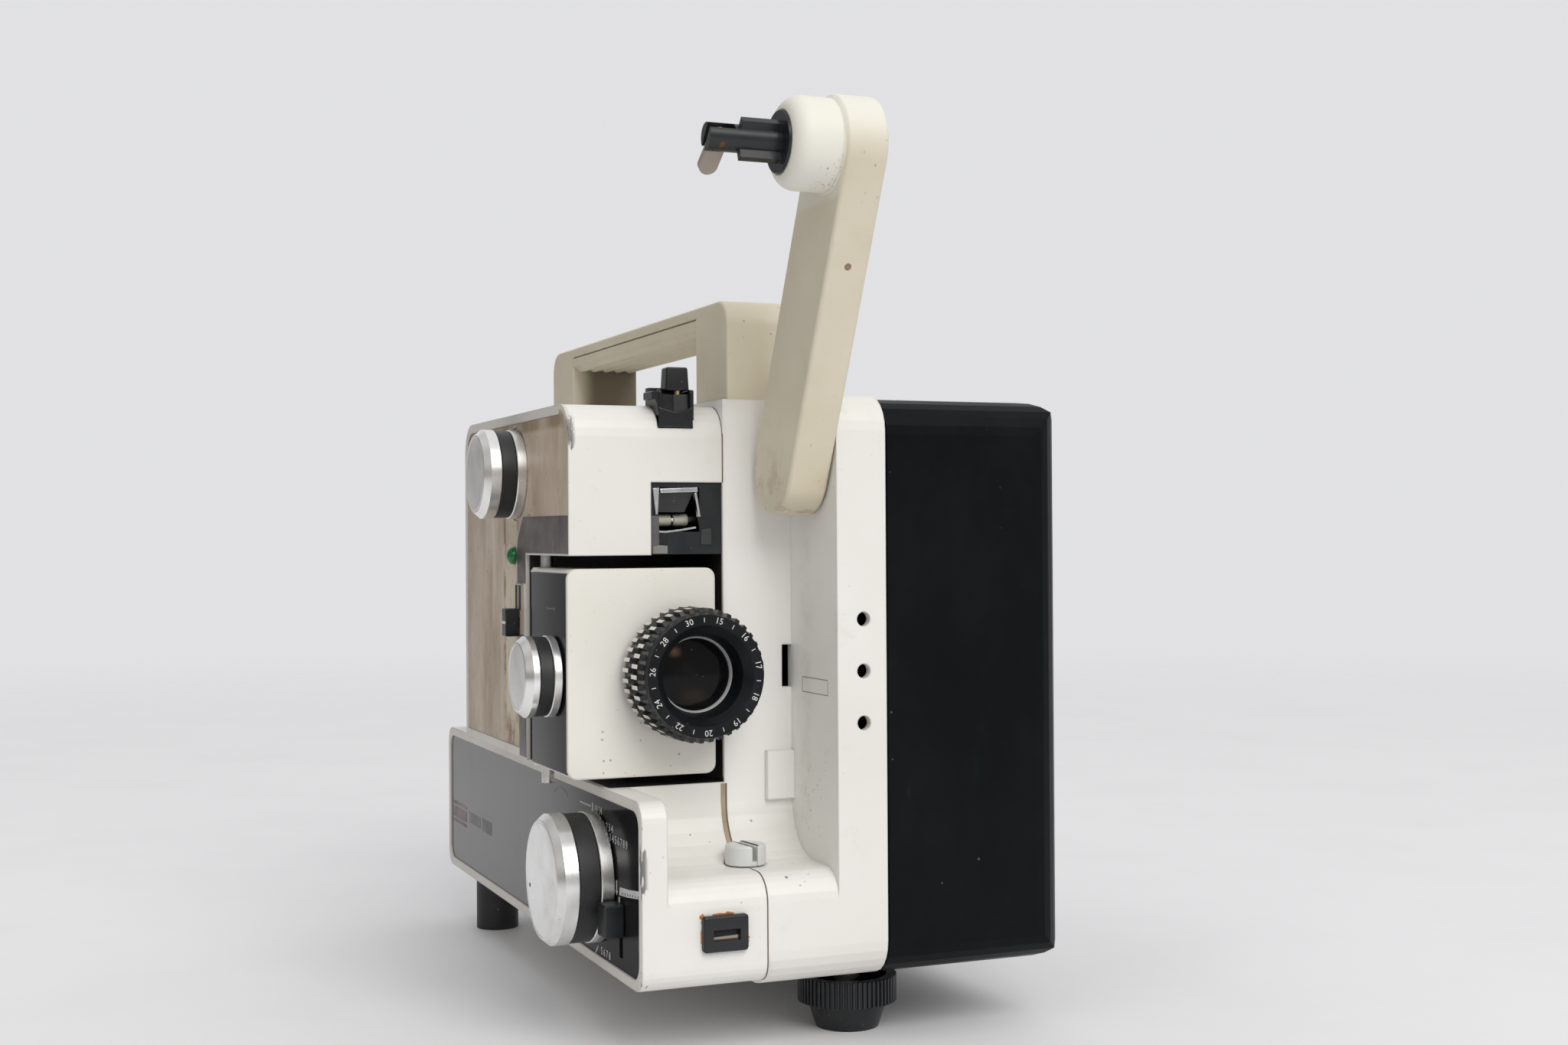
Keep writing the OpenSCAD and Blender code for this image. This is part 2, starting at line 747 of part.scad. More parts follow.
// Film inlet with its button, loop chamber with guide and roller
module film_inlet() color(black) place() difference() {
    right = inlet_x + inlet_w;
    slot_y = inlet_y + inlet_lip;
    slope_y = slot_y + inlet_slot;
    back_y = inlet_y + cheek_d;
    union() {
        block([inlet_x, inlet_y, inlet_z], [right, inlet_y + inlet_d, mouth_z]);
        block([inlet_x, slope_y, inlet_z], [right, inlet_y + inlet_d, inlet_seat_z]);
        along_x(inlet_x, right) polygon([[slope_y, mouth_z], [back_y - 0.3, inlet_top_z - 0.4],
            [back_y, inlet_top_z - 0.4], [back_y, mouth_z]]);
        for (x = [inlet_x, right - inlet_cheek]) {
            block([x, inlet_y, inlet_z], [x + inlet_cheek, back_y, inlet_top_z]);
        }
        for (x = [inlet_x - ear_w, right - eps]) {
            block([x, ear_y, housing_top_z], [x + ear_w + eps, ear_rear, inlet_seat_z]);
        }
    }
    block([inlet_x + inlet_cheek, slot_y, inlet_z - eps], [right - inlet_cheek, slope_y, inlet_top_z + eps]);
    button_pin(inlet_z - eps, inlet_top_z + eps, button_pin_r + run_fit);
}
module button_pin(z0, z1, r) rod_z(z0, z1, button_x + button_w / 2, button_y + button_d / 2, r);
module inlet_button() color(black) place() {
    block([button_x, button_y, button_z], [button_x + button_w, button_y + button_d, button_z + button_h]);
    button_pin(inlet_z + 3, button_z + eps, button_pin_r);
}
module loop_chamber() color(black) place() difference() {
    lo = [window_x + seat_fit, recess_d + 1, bay_top_z + inlet_fit];
    hi = [split_x - seat_fit, recess_d + chamber_d - seat_fit, bay_top_z + window_h - seat_fit];
    block(lo, hi);
    block([lo[0] + chamber_wall, lo[1] + chamber_wall, lo[2] + chamber_wall],
        [hi[0] - chamber_wall, hi[1] - chamber_wall, hi[2] - chamber_wall]);
    block([chamber_x, lo[1] - eps, chamber_z], [chamber_right, lo[1] + chamber_wall + eps, chamber_top]);
    block([lens_x - film_half, hi[1] - 12, lo[2] - eps],
        [lens_x + film_half, hi[1] - 3, lo[2] + chamber_wall + eps]);
    rod_x(lo[0] - eps, hi[0] + eps, roller_y, roller_z, roller_shaft_r + seat_fit);
}
module loop_guide() color(steel) place() {
    lo = [chamber_x + seat_fit, recess_d + move_gap, chamber_top - guide_h];
    hi = [chamber_right - seat_fit, lo[1] + guide_t, chamber_top - seat_fit];
    difference() {
        block(lo, hi);
        block([lo[0] + guide_bar, lo[1] - eps, lo[2] - eps],
            [hi[0] - guide_bar, hi[1] + eps, hi[2] - guide_bar]);
    }
}
module roller_shaft() color(steel) place()
    rod_x(window_x + seat_fit, split_x - seat_fit, roller_y, roller_z, roller_shaft_r);
module guide_roller() color("white") place() {
    x0 = window_x + seat_fit + chamber_wall + move_gap;
    x1 = split_x - seat_fit - chamber_wall - move_gap;
    bore = roller_shaft_r + run_fit;
    near = roller_rest + roller_half;
    far = near + roller_split;
    turned_left(x1, roller_y, roller_z, [[bore, 0], [roller_mid_r, 0], [roller_mid_r, roller_rest],
        [roller_r, roller_rest], [roller_r, near], [roller_mid_r, near], [roller_mid_r, far],
        [roller_r, far], [roller_r, x1 - x0], [bore, x1 - x0]]);
}

// Gate, claw, trimmer and small trim
module gate_plate() color(steel) place() difference() {
    block([lens_x - gate_left, bay_y - gate_t, carrier_z + 4],
        [lens_x + gate_right, bay_y, carrier_top_z - 2]);
    block([lens_x - 2.9, bay_y - 2, lens_z - 2.1], [lens_x + 2.9, bay_y + eps, lens_z + 2.1]);
    block([lens_x - claw_out - 1, bay_y - 2, lens_z - claw_slot_low],
        [lens_x - claw_out + 1, bay_y + eps, lens_z - claw_slot_high]);
}
module claw_lever() color(steel) place() {
    block([lens_x - claw_out - 0.7, bay_y - 0.8, lens_z - claw_tip_low],
        [lens_x - claw_out + 0.7, bay_y + shell_wall, lens_z - claw_tip_high]);
    block([lens_x - claw_out - claw_half, bay_y + shell_wall, lens_z - claw_low],
        [lens_x - claw_out + claw_half, bay_y + shell_wall + claw_t, lens_z - claw_high]);
}
module trimmer_box(half_w, half_h, y0, y1) block([lens_x - half_w, y0, trimmer_mid_z - half_h],
    [lens_x + half_w, y1, trimmer_mid_z + half_h]);
module film_trimmer() color(black) place() difference() {
    union() {
        along_y(-trimmer_t, 0) polygon(round_box([lens_x - trimmer_w / 2, trimmer_z],
            [lens_x + trimmer_w / 2, trimmer_z + trimmer_h], 0.8));
        trimmer_box(trimmer_neck, trimmer_neck_h / 2, -eps, shell_wall);
    }
    trimmer_box(trimmer_neck - 0.5, trimmer_neck_h / 2 - 0.6, -trimmer_t - eps, shell_wall + eps);
}
module pilot_jewel() color("green") place() {
    floor_x = housing_x + side_pocket;
    rod_x(housing_x - 2.4, floor_x, jewel_y, jewel_z, jewel_r);
    rod_x(floor_x - eps, floor_x + shell_wall, jewel_y, jewel_z, jewel_stem_r);
}
module carrier_hinge_pin() color(steel) place()
    rod_z(box_top_z - shell_wall, bay_top_z + shell_wall, hinge_x, hinge_y, hinge_r);

// Lamp and socket, on the lens axis behind the gate
module lamp() color("#dfe6ea") place() turned_front(lens_x, lamp_y + lamp_len, lens_z, concat(
    [[0, 0], [lamp_neck_r, 0], [lamp_neck_r, lamp_neck]],
    [for (i = [0:6]) [lamp_neck + (lamp_r - lamp_neck) * sin(i * 15),
        lamp_neck + 1 + (lamp_len - lamp_neck - 1) * (1 - cos(i * 15))]], [[0, lamp_len]]));
module lamp_socket() color("#cfc8b6") place()
    block([lens_x - socket_half, lamp_y + lamp_len, lens_z - socket_half],
        [lens_x + socket_half, housing_rear - shell_wall, lens_z + socket_half]);

// Drive
module chassis_plate() color(steel) place() {
    lo = casting_z + casting_wall;
    block([chassis_x - chassis_flange, chassis_y, lo], [chassis_x + chassis_t, chassis_rear, lo + chassis_t]);
    block([chassis_x, chassis_y, lo], [chassis_x + chassis_t, chassis_rear, motor_z + motor_pad]);
}
module shaft_brackets() color(steel) place() difference() {
    for (y = bracket_ys) {
        block([web_x, y, shaft_z - bracket_half],
            [shaft_x + bracket_half, y + bracket_t, shaft_z + bracket_half]);
    }
    rod_y(bracket_ys[0] - eps, bracket_ys[1] + bracket_t + eps, shaft_x, shaft_z, shaft_r + run_fit);
}
module main_shaft() color(steel) place()
    rod_y(shutter_y - shaft_end, pulley_y + pulley_w + shaft_end, shaft_x, shaft_z, shaft_r);
module shutter() color(black) place() difference() {
    rod_y(shutter_y, shutter_y + shutter_t, shaft_x, shaft_z, shutter_r);
    rod_y(shutter_y - eps, shutter_y + shutter_t + eps, shaft_x, shaft_z, shaft_r + run_fit);
    translate([shaft_x, 0, shaft_z]) along_y(shutter_y - eps, shutter_y + shutter_t + eps) {
        for (a = [10, 130, 250]) {
            rotate(a) polygon(concat(arc([0, 0], shutter_hub_r, 0, shutter_span),
                arc([0, 0], shutter_r + shutter_over, shutter_span, 0)));
        }
    }
}
function pulley_profile(r, bore) = [[bore, 0], [r, 0], [r, (pulley_w - belt_w) / 2 - belt_gap],
    [r - groove, (pulley_w - belt_w) / 2 - belt_gap], [r - groove, (pulley_w + belt_w) / 2 + belt_gap],
    [r, (pulley_w + belt_w) / 2 + belt_gap], [r, pulley_w], [bore, pulley_w]];
module main_pulley() color(alloy) place()
    turned_front(shaft_x, pulley_y + pulley_w, shaft_z, pulley_profile(main_pulley_r, shaft_r + run_fit));
module motor_pulley() color(alloy) place() turned_front(motor_x, pulley_y + pulley_w, motor_z,
    pulley_profile(motor_pulley_r, motor_shaft_r + run_fit));
module belt_loop(grow) hull() {
    translate([shaft_x, shaft_z]) circle(main_pulley_r - groove + belt_gap + grow);
    translate([motor_x, motor_z]) circle(motor_pulley_r - groove + belt_gap + grow);
}
module drive_belt() color(black) place() along_y(belt_y, belt_y + belt_w) difference() {
    belt_loop(belt_t);
    belt_loop(0);
}
module motor() color("#8d9094") place() difference() {
    union() {
        rod_y(motor_y, motor_y + motor_len, motor_x, motor_z, motor_r);
        block([chassis_x + chassis_t, motor_y + 4, motor_z - motor_pad],
            [motor_x - motor_r / 2, motor_y + motor_len - 4, motor_z + motor_pad]);
    }
    rod_y(motor_y - eps, motor_y + motor_len + eps, motor_x, motor_z, motor_shaft_r + run_fit);
}
module motor_shaft() color(steel) place()
    rod_y(fan_y - shaft_end, pulley_y + pulley_w + shaft_end, motor_x, motor_z, motor_shaft_r);
module fan() color("#3b3d40") place() difference() {
    union() {
        rod_y(fan_y, fan_y + fan_w, motor_x, motor_z, fan_hub_r);
        rod_y(fan_y + fan_w - 2 * blade_t, fan_y + fan_w, motor_x, motor_z, fan_r);
        translate([motor_x, 0, motor_z]) {
            for (a = [0:30:330]) {
                rotate([0, a, 0]) block([fan_hub_r - 1, fan_y, -blade_t / 2],
                    [fan_r - 0.5, fan_y + fan_w - blade_t, blade_t / 2]);
            }
        }
    }
    rod_y(fan_y - eps, fan_y + fan_w + eps, motor_x, motor_z, motor_shaft_r + run_fit);
}
module transformer() color("#6d6a64") place() {
    x0 = chassis_x + chassis_t;
    z0 = casting_z + shell_wall + chassis_t;
    block([x0, core_y, z0], [x0 + core_w, core_rear, z0 + core_h]);
    block([x0 + coil_inset, core_y - coil_out, z0 + coil_inset],
        [x0 + core_w - coil_inset, core_rear + coil_out, z0 + core_h - coil_inset]);
}

// Feet
module rear_feet() color(black) place() {
    rod_z(0, box_z, rear_foot_inset, body_len - rear_foot_y, rear_foot_r);
    rod_z(0, casting_z, right_x - rear_foot_inset, body_len - rear_foot_y, rear_foot_r);
}
module foot_stem() color(steel) place()
    rod_z(stem_z, casting_z + casting_wall + stem_top, foot_x, foot_y, stem_r);
module levelling_foot() color(black) place() difference() {
    union() {
        translate([foot_x, foot_y, 0])
            cylinder(r1 = foot_base_r, r2 = foot_base_r + foot_flare, h = foot_cone_h);
        translate([foot_x, foot_y, foot_cone_h])
            linear_extrude(foot_ring_h) ribbed_ring(foot_ring_r, foot_rib, foot_ribs);
    }
    rod_z(stem_z + 1, foot_cone_h + foot_ring_h + eps, foot_x, foot_y, foot_ring_r - foot_wall);
    rod_z(stem_z, foot_cone_h + foot_ring_h + eps, foot_x, foot_y, stem_r + run_fit);
}
// Flat-topped ribs round a circle
module ribbed_ring(r, depth, count) polygon([for (i = [0:count - 1]) for (k = [0:3])
    let (a = 360 * (i + rib_steps[k]) / count, q = (k == 1 || k == 2) ? r : r - depth)
        q * [cos(a), sin(a)]]);

// Reel arms: a flat arm with round ends and a hub that carries the spindle
module arm(len) difference() {
    union() {
        rod_x(0, arm_t, 0, 0, arm_w / 2);
        rod_x(0, arm_t, 0, len, arm_w / 2);
        block([0, -arm_w / 2, 0], [arm_t, arm_w / 2, len]);
        turned_left(eps, 0, len, concat([[0, 0], [hub_r, 0]],
            arc([hub_r - hub_round, hub_len + eps - hub_round], hub_round, 0, 90), [[0, hub_len + eps]]));
    }
    rod_x(pivot_skin, arm_t + eps, 0, 0, pivot_r + run_fit);
    rod_x(-hub_len - eps, arm_t - arm_skin, 0, len, spindle_shaft_r + run_fit);
    rod_x(-hub_len - eps, hub_mouth - hub_len, 0, len, disc_r + move_gap);
}
module feed_arm() color(cream) place()
    translate([arm_x, feed_pivot_y, feed_pivot_z]) rotate([feed_lean, 0, 0]) arm(feed_len);
module takeup_arm() color(cream) place()
    translate([arm_x, takeup_pivot_y, takeup_pivot_z]) rotate([180, 0, 0]) arm(takeup_len);
module pivot(y, z) {
    rod_x(arm_x + pivot_skin + move_gap, recess_x + casting_wall, y, z, pivot_r);
    rod_x(recess_x + casting_wall, recess_x + 2 * casting_wall, y, z, pivot_r + pivot_skin);
}
module feed_pivot() color(steel) place() pivot(feed_pivot_y, feed_pivot_z);
module takeup_pivot() color(steel) place() pivot(takeup_pivot_y, takeup_pivot_z);
module spindle(y, z) difference() {
    union() {
        rod_x(tip_x, disc_x, y, z, rod_r);
        rod_x(disc_x - eps, arm_x + arm_t - arm_skin - 1, y, z, spindle_shaft_r);
        rod_x(disc_x - disc_t, disc_x, y, z, disc_r);
        for (a = [12, 132, 252]) {
            translate([0, y, z]) rotate([a, 0, 0])
                block([tip_x + tip_len, 0, -wing_t / 2],
                    [disc_x - disc_t + eps, wing_r, wing_t / 2]);
        }
    }
    translate([0, y, z]) rotate([latch_turn, 0, 0]) difference() {
        block([tip_x - eps, -latch_slot / 2, -rod_r - eps],
            [latch_x + latch_r + 1, latch_slot / 2, rod_r + eps]);
        rod_y(-latch_slot, latch_slot, latch_x, 0, latch_pin_r);
    }
}
module latch_outline() difference() {
    union() {
        circle(latch_r);
        translate([0, -latch_len]) circle(latch_r);
        translate([-latch_r, -latch_len]) square([2 * latch_r, latch_len]);
    }
    circle(latch_pin_r + run_fit);
}
module latch(y, z) translate([latch_x, y, z]) rotate([latch_turn, 0, 0]) rotate([0, latch_tilt, 0])
    along_y(-latch_t / 2, latch_t / 2) latch_outline();
module feed_spindle() color(black) place() spindle(feed_axis_y, feed_axis_z);
module feed_latch() color(steel) place() latch(feed_axis_y, feed_axis_z);
module takeup_spindle() color(black) place() spindle(takeup_pivot_y, takeup_axis_z);
module takeup_latch() color(steel) place() latch(takeup_pivot_y, takeup_axis_z);

// Turned knobs with a groove for a rubber band
function knob_profile(r, len, base, band) = [[0, 0], [r, 0], [r, base], [r - band_t, base],
    [r - band_t, base + band], [r, base + band], [r, len - knob_bevel], [r - knob_bevel, len], [0, len]];
module knob(x, y, z, r, len, base, band, inner) {
    turned_left(x, y, z, knob_profile(r, len, base, band));
    rod_x(x - eps, inner, y, z, knob_shaft_r);
}
module knob_band(x, y, z, r, base, band) {
    inner = r - band_t + run_fit;
    outer = r - band_drop;
    turned_left(x, y, z, [[inner, base + run_fit], [outer, base + run_fit],
        [outer, base + band - run_fit], [inner, base + band - run_fit]]);
}
module mode_knob() color(alloy) place()
    knob(mode_x, mode_y, mode_z, mode_r, mode_len, mode_base, mode_band, 2 * (panel_t + shell_wall));
module mode_knob_band() color(black) place() knob_band(mode_x, mode_y, mode_z, mode_r, mode_base, mode_band);
module focus_knob() color(alloy) place()
    knob(focus_x, focus_y, focus_z, focus_r, focus_len, focus_base, focus_band, carrier_x + carrier_wall + 1);
module focus_knob_band() color(black) place()
    knob_band(focus_x, focus_y, focus_z, focus_r, focus_base, focus_band);
module inching_knob() color(alloy) place()
    knob(inching_x, inching_y, inching_z, inching_r, inching_len, inching_base, inching_band, inching_end_x);
module inching_knob_band() color(black) place()
    knob_band(inching_x, inching_y, inching_z, inching_r, inching_base, inching_band);

// Lens carrier: a box open at the rear, with a tube for the lens and a hinge barrel
module carrier_outline(inset, r) polygon(round_box([carrier_x + inset, carrier_z + inset],
    [carrier_x + carrier_w - inset, carrier_top_z - inset], r));
module lens_carrier() color("#e7e3d6") place() difference() {
    union() {
        difference() {
            along_y(recess_d, recess_d + carrier_d) carrier_outline(0, carrier_r);
            along_y(recess_d + carrier_wall, recess_d + carrier_d + eps)
                carrier_outline(carrier_wall, carrier_r - carrier_wall + eps);
        }
        rod_y(recess_d + 1, recess_d + sleeve_len, lens_x, lens_z, tube_r + sleeve_wall);
        rod_z(carrier_z, carrier_top_z, hinge_x, hinge_y, hinge_r + knuckle_wall);
    }
    rod_y(recess_d - eps, recess_d + carrier_d + eps, lens_x, lens_z, tube_r + run_fit);
    rod_z(carrier_z - eps, carrier_top_z + eps, hinge_x, hinge_y, hinge_r + run_fit);
    rod_x(carrier_x - eps, carrier_x + carrier_wall + eps, focus_y, focus_z, knob_shaft_r + run_fit);
    block([carrier_x - eps, recess_d + panel_edge, carrier_z + panel_edge],
        [carrier_x + side_panel_t, recess_d + carrier_d + eps, carrier_top_z - panel_edge]);
    rear_corner();
}
// Round of the carrier's rear left edge, about the hinge
module rear_corner() difference() {
    block([carrier_x - eps, hinge_y, carrier_z - eps],
        [hinge_x, recess_d + carrier_d + 1, carrier_top_z + eps]);
    rod_z(carrier_z - 1, carrier_top_z + 1, hinge_x, hinge_y, hinge_inset);
}
module lens_side_panel() color("#2c2d31") place() difference() {
    block([carrier_x + seat_fit, recess_d + panel_edge + seat_fit, carrier_z + panel_edge + seat_fit],
        [carrier_x + side_panel_t, hinge_y - panel_drop, carrier_top_z - panel_edge - seat_fit]);
    rod_x(carrier_x - eps, carrier_x + carrier_wall, focus_y, focus_z, knob_shaft_r + run_fit);
}
module lens_barrel() color("#26272a") place() {
    neck = barrel_rear - recess_d + ring_back;
    total = barrel_rear - barrel_front;
    turned_front(lens_x, barrel_rear, lens_z, [[tube_r - barrel_wall, 0], [tube_r, 0], [tube_r, neck],
        [barrel_r, neck], [barrel_r, total], [barrel_r - barrel_wall, total],
        [barrel_r - barrel_wall, neck + barrel_wall], [tube_r - barrel_wall, neck + barrel_wall]]);
}
module zoom_ring() color(black) place() difference() {
    row = (ring_len - 2 * ring_rim) / rib_rows;
    union() {
        rod_y(ring_y, ring_y + ring_len, lens_x, lens_z, ring_r - rib_depth - panel_drop);
        for (i = [0:rib_rows - 1]) {
            y = ring_y + ring_rim + i * row;
            translate([lens_x, 0, lens_z]) along_y(y + rib_gap, y + row - rib_gap)
                rotate(i * 180 / ring_ribs) ribbed_ring(ring_r, rib_depth, ring_ribs);
        }
    }
    rod_y(ring_y - eps, ring_y + ring_len + eps, lens_x, lens_z, barrel_r + run_fit);
}
module lens_front_ring() color(black) place() {
    reach = glass_y - ring_y - move_gap;
    sleeve_r = glass_r - move_gap + run_fit;
    turned_front(lens_x, ring_y, lens_z, [[barrel_r, front_ring_t], [ring_r - 1.9, front_ring_t],
        [ring_r - 1.6, 0], [barrel_r - panel_drop, 0], [barrel_r - panel_drop, -1.1], [sleeve_r, -1.1],
        [sleeve_r, -reach], [glass_r - 2.3, -reach], [glass_r - 1.2, -1.1]]);
}
module front_glass() color("#30363c") place() turned_front(lens_x, glass_y + glass_t + glass_rise, lens_z,
    concat([[0, 0], [glass_r, 0], [glass_r, glass_t]],
    [for (i = [1:5]) [glass_r * (1 - i / 5), glass_t + glass_rise * (1 - pow(1 - i / 5, 2))]]));
module pressure_plate() color(steel) place() difference() {
    y = recess_d + carrier_d;
    union() {
        block([lens_x - plate_left, y - 2.5, carrier_z + carrier_wall],
            [lens_x + plate_right, y - 1, carrier_top_z - carrier_wall]);
        block([lens_x - film_half, y - 1.5, lens_z - plate_reach],
            [lens_x + film_half, y + 0.4, lens_z + plate_reach]);
    }
    rod_y(y - 4, y + 2, lens_x, lens_z, gate_hole_r);
}

// Controls that slide or turn in the body
module framing_knob() color("#d9d8d3") place() difference() {
    union() {
        rod_z(scoop_z + move_gap, scoop_z + framing_h, framing_x, framing_y, framing_r);
        rod_z(scoop_z - framing_stem, scoop_z + framing_h - 1, framing_x, framing_y, knob_shaft_r);
    }
    block([framing_x - framing_slot, framing_y - framing_r - 1, scoop_z + framing_h - 2],
        [framing_x + framing_slot, framing_y + framing_r + 1, scoop_z + framing_h + 1]);
}
module speed_lever() color(black) place() {
    block([-lever_out, lever_y - lever_w / 2, lever_z],
        [panel_face - move_gap, lever_y + lever_w / 2, lever_z + lever_h]);
    block([-eps, lever_y - tang_w / 2, lever_z + tang_inset],
        [panel_t + 2 * shell_wall, lever_y + tang_w / 2, lever_z + lever_h - tang_inset]);
}
module loop_slider() color(black) place() {
    block([housing_x - slider_out, slider_y - slider_w / 2, slider_z],
        [housing_x + panel_drop - move_gap, slider_y + slider_w / 2, slider_z + slider_h]);
    block([housing_x - eps, slider_y - tang_w / 2, slider_z + tang_inset],
        [housing_inner_x, slider_y + tang_w / 2, slider_z + slider_h - tang_inset]);
}

main_casting();
right_cover();
film_housing();
film_side_panel();
control_box();
control_panel();
carry_handle();
film_inlet();
loop_chamber();
loop_guide();
roller_shaft();
guide_roller();
film_trimmer();
gate_plate();
claw_lever();
lamp();
lamp_socket();
chassis_plate();
shaft_brackets();
transformer();
motor();
drive_belt();
rear_feet();
cover_screws();
mains_inlet();
pilot_jewel();
carrier_hinge_pin();
feed_pivot();
takeup_pivot();
feed_arm();
feed_spindle();
feed_latch();
takeup_arm();
takeup_spindle();
takeup_latch();
mode_knob();
mode_knob_band();
focus_knob();
focus_knob_band();
inching_knob();
inching_knob_band();
lens_carrier();
lens_side_panel();
lens_barrel();
zoom_ring();
lens_front_ring();
front_glass();
pressure_plate();
inlet_button();
framing_knob();
speed_lever();
loop_slider();
foot_stem();
levelling_foot();
main_shaft();
shutter();
main_pulley();
motor_shaft();
motor_pulley();
fan();
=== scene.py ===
import math

import bmesh
import bpy
from mathutils import Matrix, Vector


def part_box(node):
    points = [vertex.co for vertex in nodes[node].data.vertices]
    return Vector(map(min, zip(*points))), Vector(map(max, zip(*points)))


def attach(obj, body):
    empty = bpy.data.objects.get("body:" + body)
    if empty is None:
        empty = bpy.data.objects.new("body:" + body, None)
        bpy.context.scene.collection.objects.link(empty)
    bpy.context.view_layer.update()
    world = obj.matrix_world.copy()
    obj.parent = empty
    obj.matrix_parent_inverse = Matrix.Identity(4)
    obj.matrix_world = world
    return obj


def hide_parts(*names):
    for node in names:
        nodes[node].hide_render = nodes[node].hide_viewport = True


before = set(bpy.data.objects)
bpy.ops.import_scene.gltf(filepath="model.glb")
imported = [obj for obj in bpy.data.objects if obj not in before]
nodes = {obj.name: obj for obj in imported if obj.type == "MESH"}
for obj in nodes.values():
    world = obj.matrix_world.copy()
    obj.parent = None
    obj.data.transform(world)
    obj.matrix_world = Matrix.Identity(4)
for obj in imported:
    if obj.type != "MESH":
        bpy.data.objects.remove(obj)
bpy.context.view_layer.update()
scene = bpy.context.scene
mm = 0.001

# Everything below is in millimetres from the control box's left face, the casting's front and the table
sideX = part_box("control_box")[0].x
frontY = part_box("main_casting")[0].y
toRow = Matrix.Translation((sideX, frontY, 0)) @ Matrix.Scale(mm, 4)
fromRow = toRow.inverted()
leftward = Vector((-1, 0, 0))
forward = Vector((0, -1, 0))
upward = Vector((0, 0, 1))


def span(node):
    low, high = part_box(node)
    return fromRow @ low, fromRow @ high


def middle(node):
    low, high = span(node)
    return (low + high) / 2


print("frame loaded:", len(nodes), "nodes")


# Material helpers: each adds one step to a finish

def startFinish(name, colour, rough, metal=0.0):
    mat = bpy.data.materials.new(name)
    mat.use_nodes = True
    tree = mat.node_tree
    shader = tree.nodes["Principled BSDF"]
    shader.inputs["Base Color"].default_value = (*colour, 1)
    shader.inputs["Roughness"].default_value = rough
    shader.inputs["Metallic"].default_value = metal
    place = tree.nodes.new("ShaderNodeTexCoord").outputs["Object"]
    return mat, tree, shader, place


def feed(tree, value, socket):
    if isinstance(value, bpy.types.NodeSocket):
        tree.links.new(value, socket)
    elif isinstance(value, (tuple, list)):
        socket.default_value = (*value, 1) if len(value) == 3 else value
    else:
        socket.default_value = value


def cloud(tree, place, scale, detail=4, rough=0.55, stretch=(1, 1, 1), turn=(0, 0, 0), shift=(0, 0, 0)):
    mapping = tree.nodes.new("ShaderNodeMapping")
    mapping.inputs["Scale"].default_value = stretch
    mapping.inputs["Rotation"].default_value = turn
    mapping.inputs["Location"].default_value = shift
    tree.links.new(place, mapping.inputs["Vector"])
    node = tree.nodes.new("ShaderNodeTexNoise")
    node.inputs["Scale"].default_value = scale
    node.inputs["Detail"].default_value = detail
    node.inputs["Roughness"].default_value = rough
    tree.links.new(mapping.outputs["Vector"], node.inputs["Vector"])
    return node.outputs["Fac"]


def between(tree, value, low, high, bottom=0.0, top=1.0):
    node = tree.nodes.new("ShaderNodeMapRange")
    node.interpolation_type = "SMOOTHSTEP"
    node.inputs["From Min"].default_value = low
    node.inputs["From Max"].default_value = high
    node.inputs["To Min"].default_value = bottom
    node.inputs["To Max"].default_value = top
    tree.links.new(value, node.inputs["Value"])
    return node.outputs["Result"]


def sums(tree, how, first, second):
    node = tree.nodes.new("ShaderNodeMath")
    node.operation = how
    feed(tree, first, node.inputs[0])
    feed(tree, second, node.inputs[1])
    return node.outputs[0]


def times(tree, first, second):
    return sums(tree, "MULTIPLY", first, second)


def most(tree, *masks):
    top = masks[0]
    for mask in masks[1:]:
        top = sums(tree, "MAXIMUM", top, mask)
    return top


def tint(tree, factor, under, over):
    node = tree.nodes.new("ShaderNodeMix")
    node.data_type = "RGBA"
    feed(tree, factor, node.inputs[0])
    feed(tree, under, node.inputs[6])
    feed(tree, over, node.inputs[7])
    return node.outputs[2]


# Small sparse dots: a share of the cells of a pattern each hold one dot
def specks(tree, place, scale, size, share, shift=(0, 0, 0)):
    mapping = tree.nodes.new("ShaderNodeMapping")
    mapping.inputs["Location"].default_value = shift
    tree.links.new(place, mapping.inputs["Vector"])
    node = tree.nodes.new("ShaderNodeTexVoronoi")
    node.inputs["Scale"].default_value = scale
    tree.links.new(mapping.outputs["Vector"], node.inputs["Vector"])
    dot = between(tree, node.outputs["Distance"], size * 0.6, size, 1, 0)
    pick = tree.nodes.new("ShaderNodeSeparateColor")
    tree.links.new(node.outputs["Color"], pick.inputs["Color"])
    chosen = between(tree, pick.outputs["Red"], 1 - share, 1 - share + 0.02)
    return times(tree, dot, chosen)


# One inside a box of the part, falling to zero over soft millimetres (one value, or one for each direction)
def patch(tree, place, low, high, soft):
    softs = soft if isinstance(soft, tuple) else (soft, soft, soft)
    parts = tree.nodes.new("ShaderNodeSeparateXYZ")
    tree.links.new(place, parts.inputs[0])
    lowRow, highRow = toRow @ Vector(low), toRow @ Vector(high)
    mask = None
    for i in range(3):
        value = parts.outputs[i]
        edge = softs[i] * mm
        rise = between(tree, value, lowRow[i] - edge, lowRow[i] + edge)
        fall = between(tree, value, highRow[i] - edge, highRow[i] + edge, 1, 0)
        both = times(tree, rise, fall)
        mask = both if mask is None else times(tree, mask, both)
    return mask


# Fine relief on top of softened edges
def relief(tree, shader, height, strength, depth, edge):
    soft = tree.nodes.new("ShaderNodeBevel")
    soft.samples = 4
    soft.inputs["Radius"].default_value = edge * mm
    node = tree.nodes.new("ShaderNodeBump")
    node.inputs["Strength"].default_value = strength
    node.inputs["Distance"].default_value = depth * mm
    feed(tree, height, node.inputs["Height"])
    tree.links.new(soft.outputs["Normal"], node.inputs["Normal"])
    tree.links.new(node.outputs["Normal"], shader.inputs["Normal"])


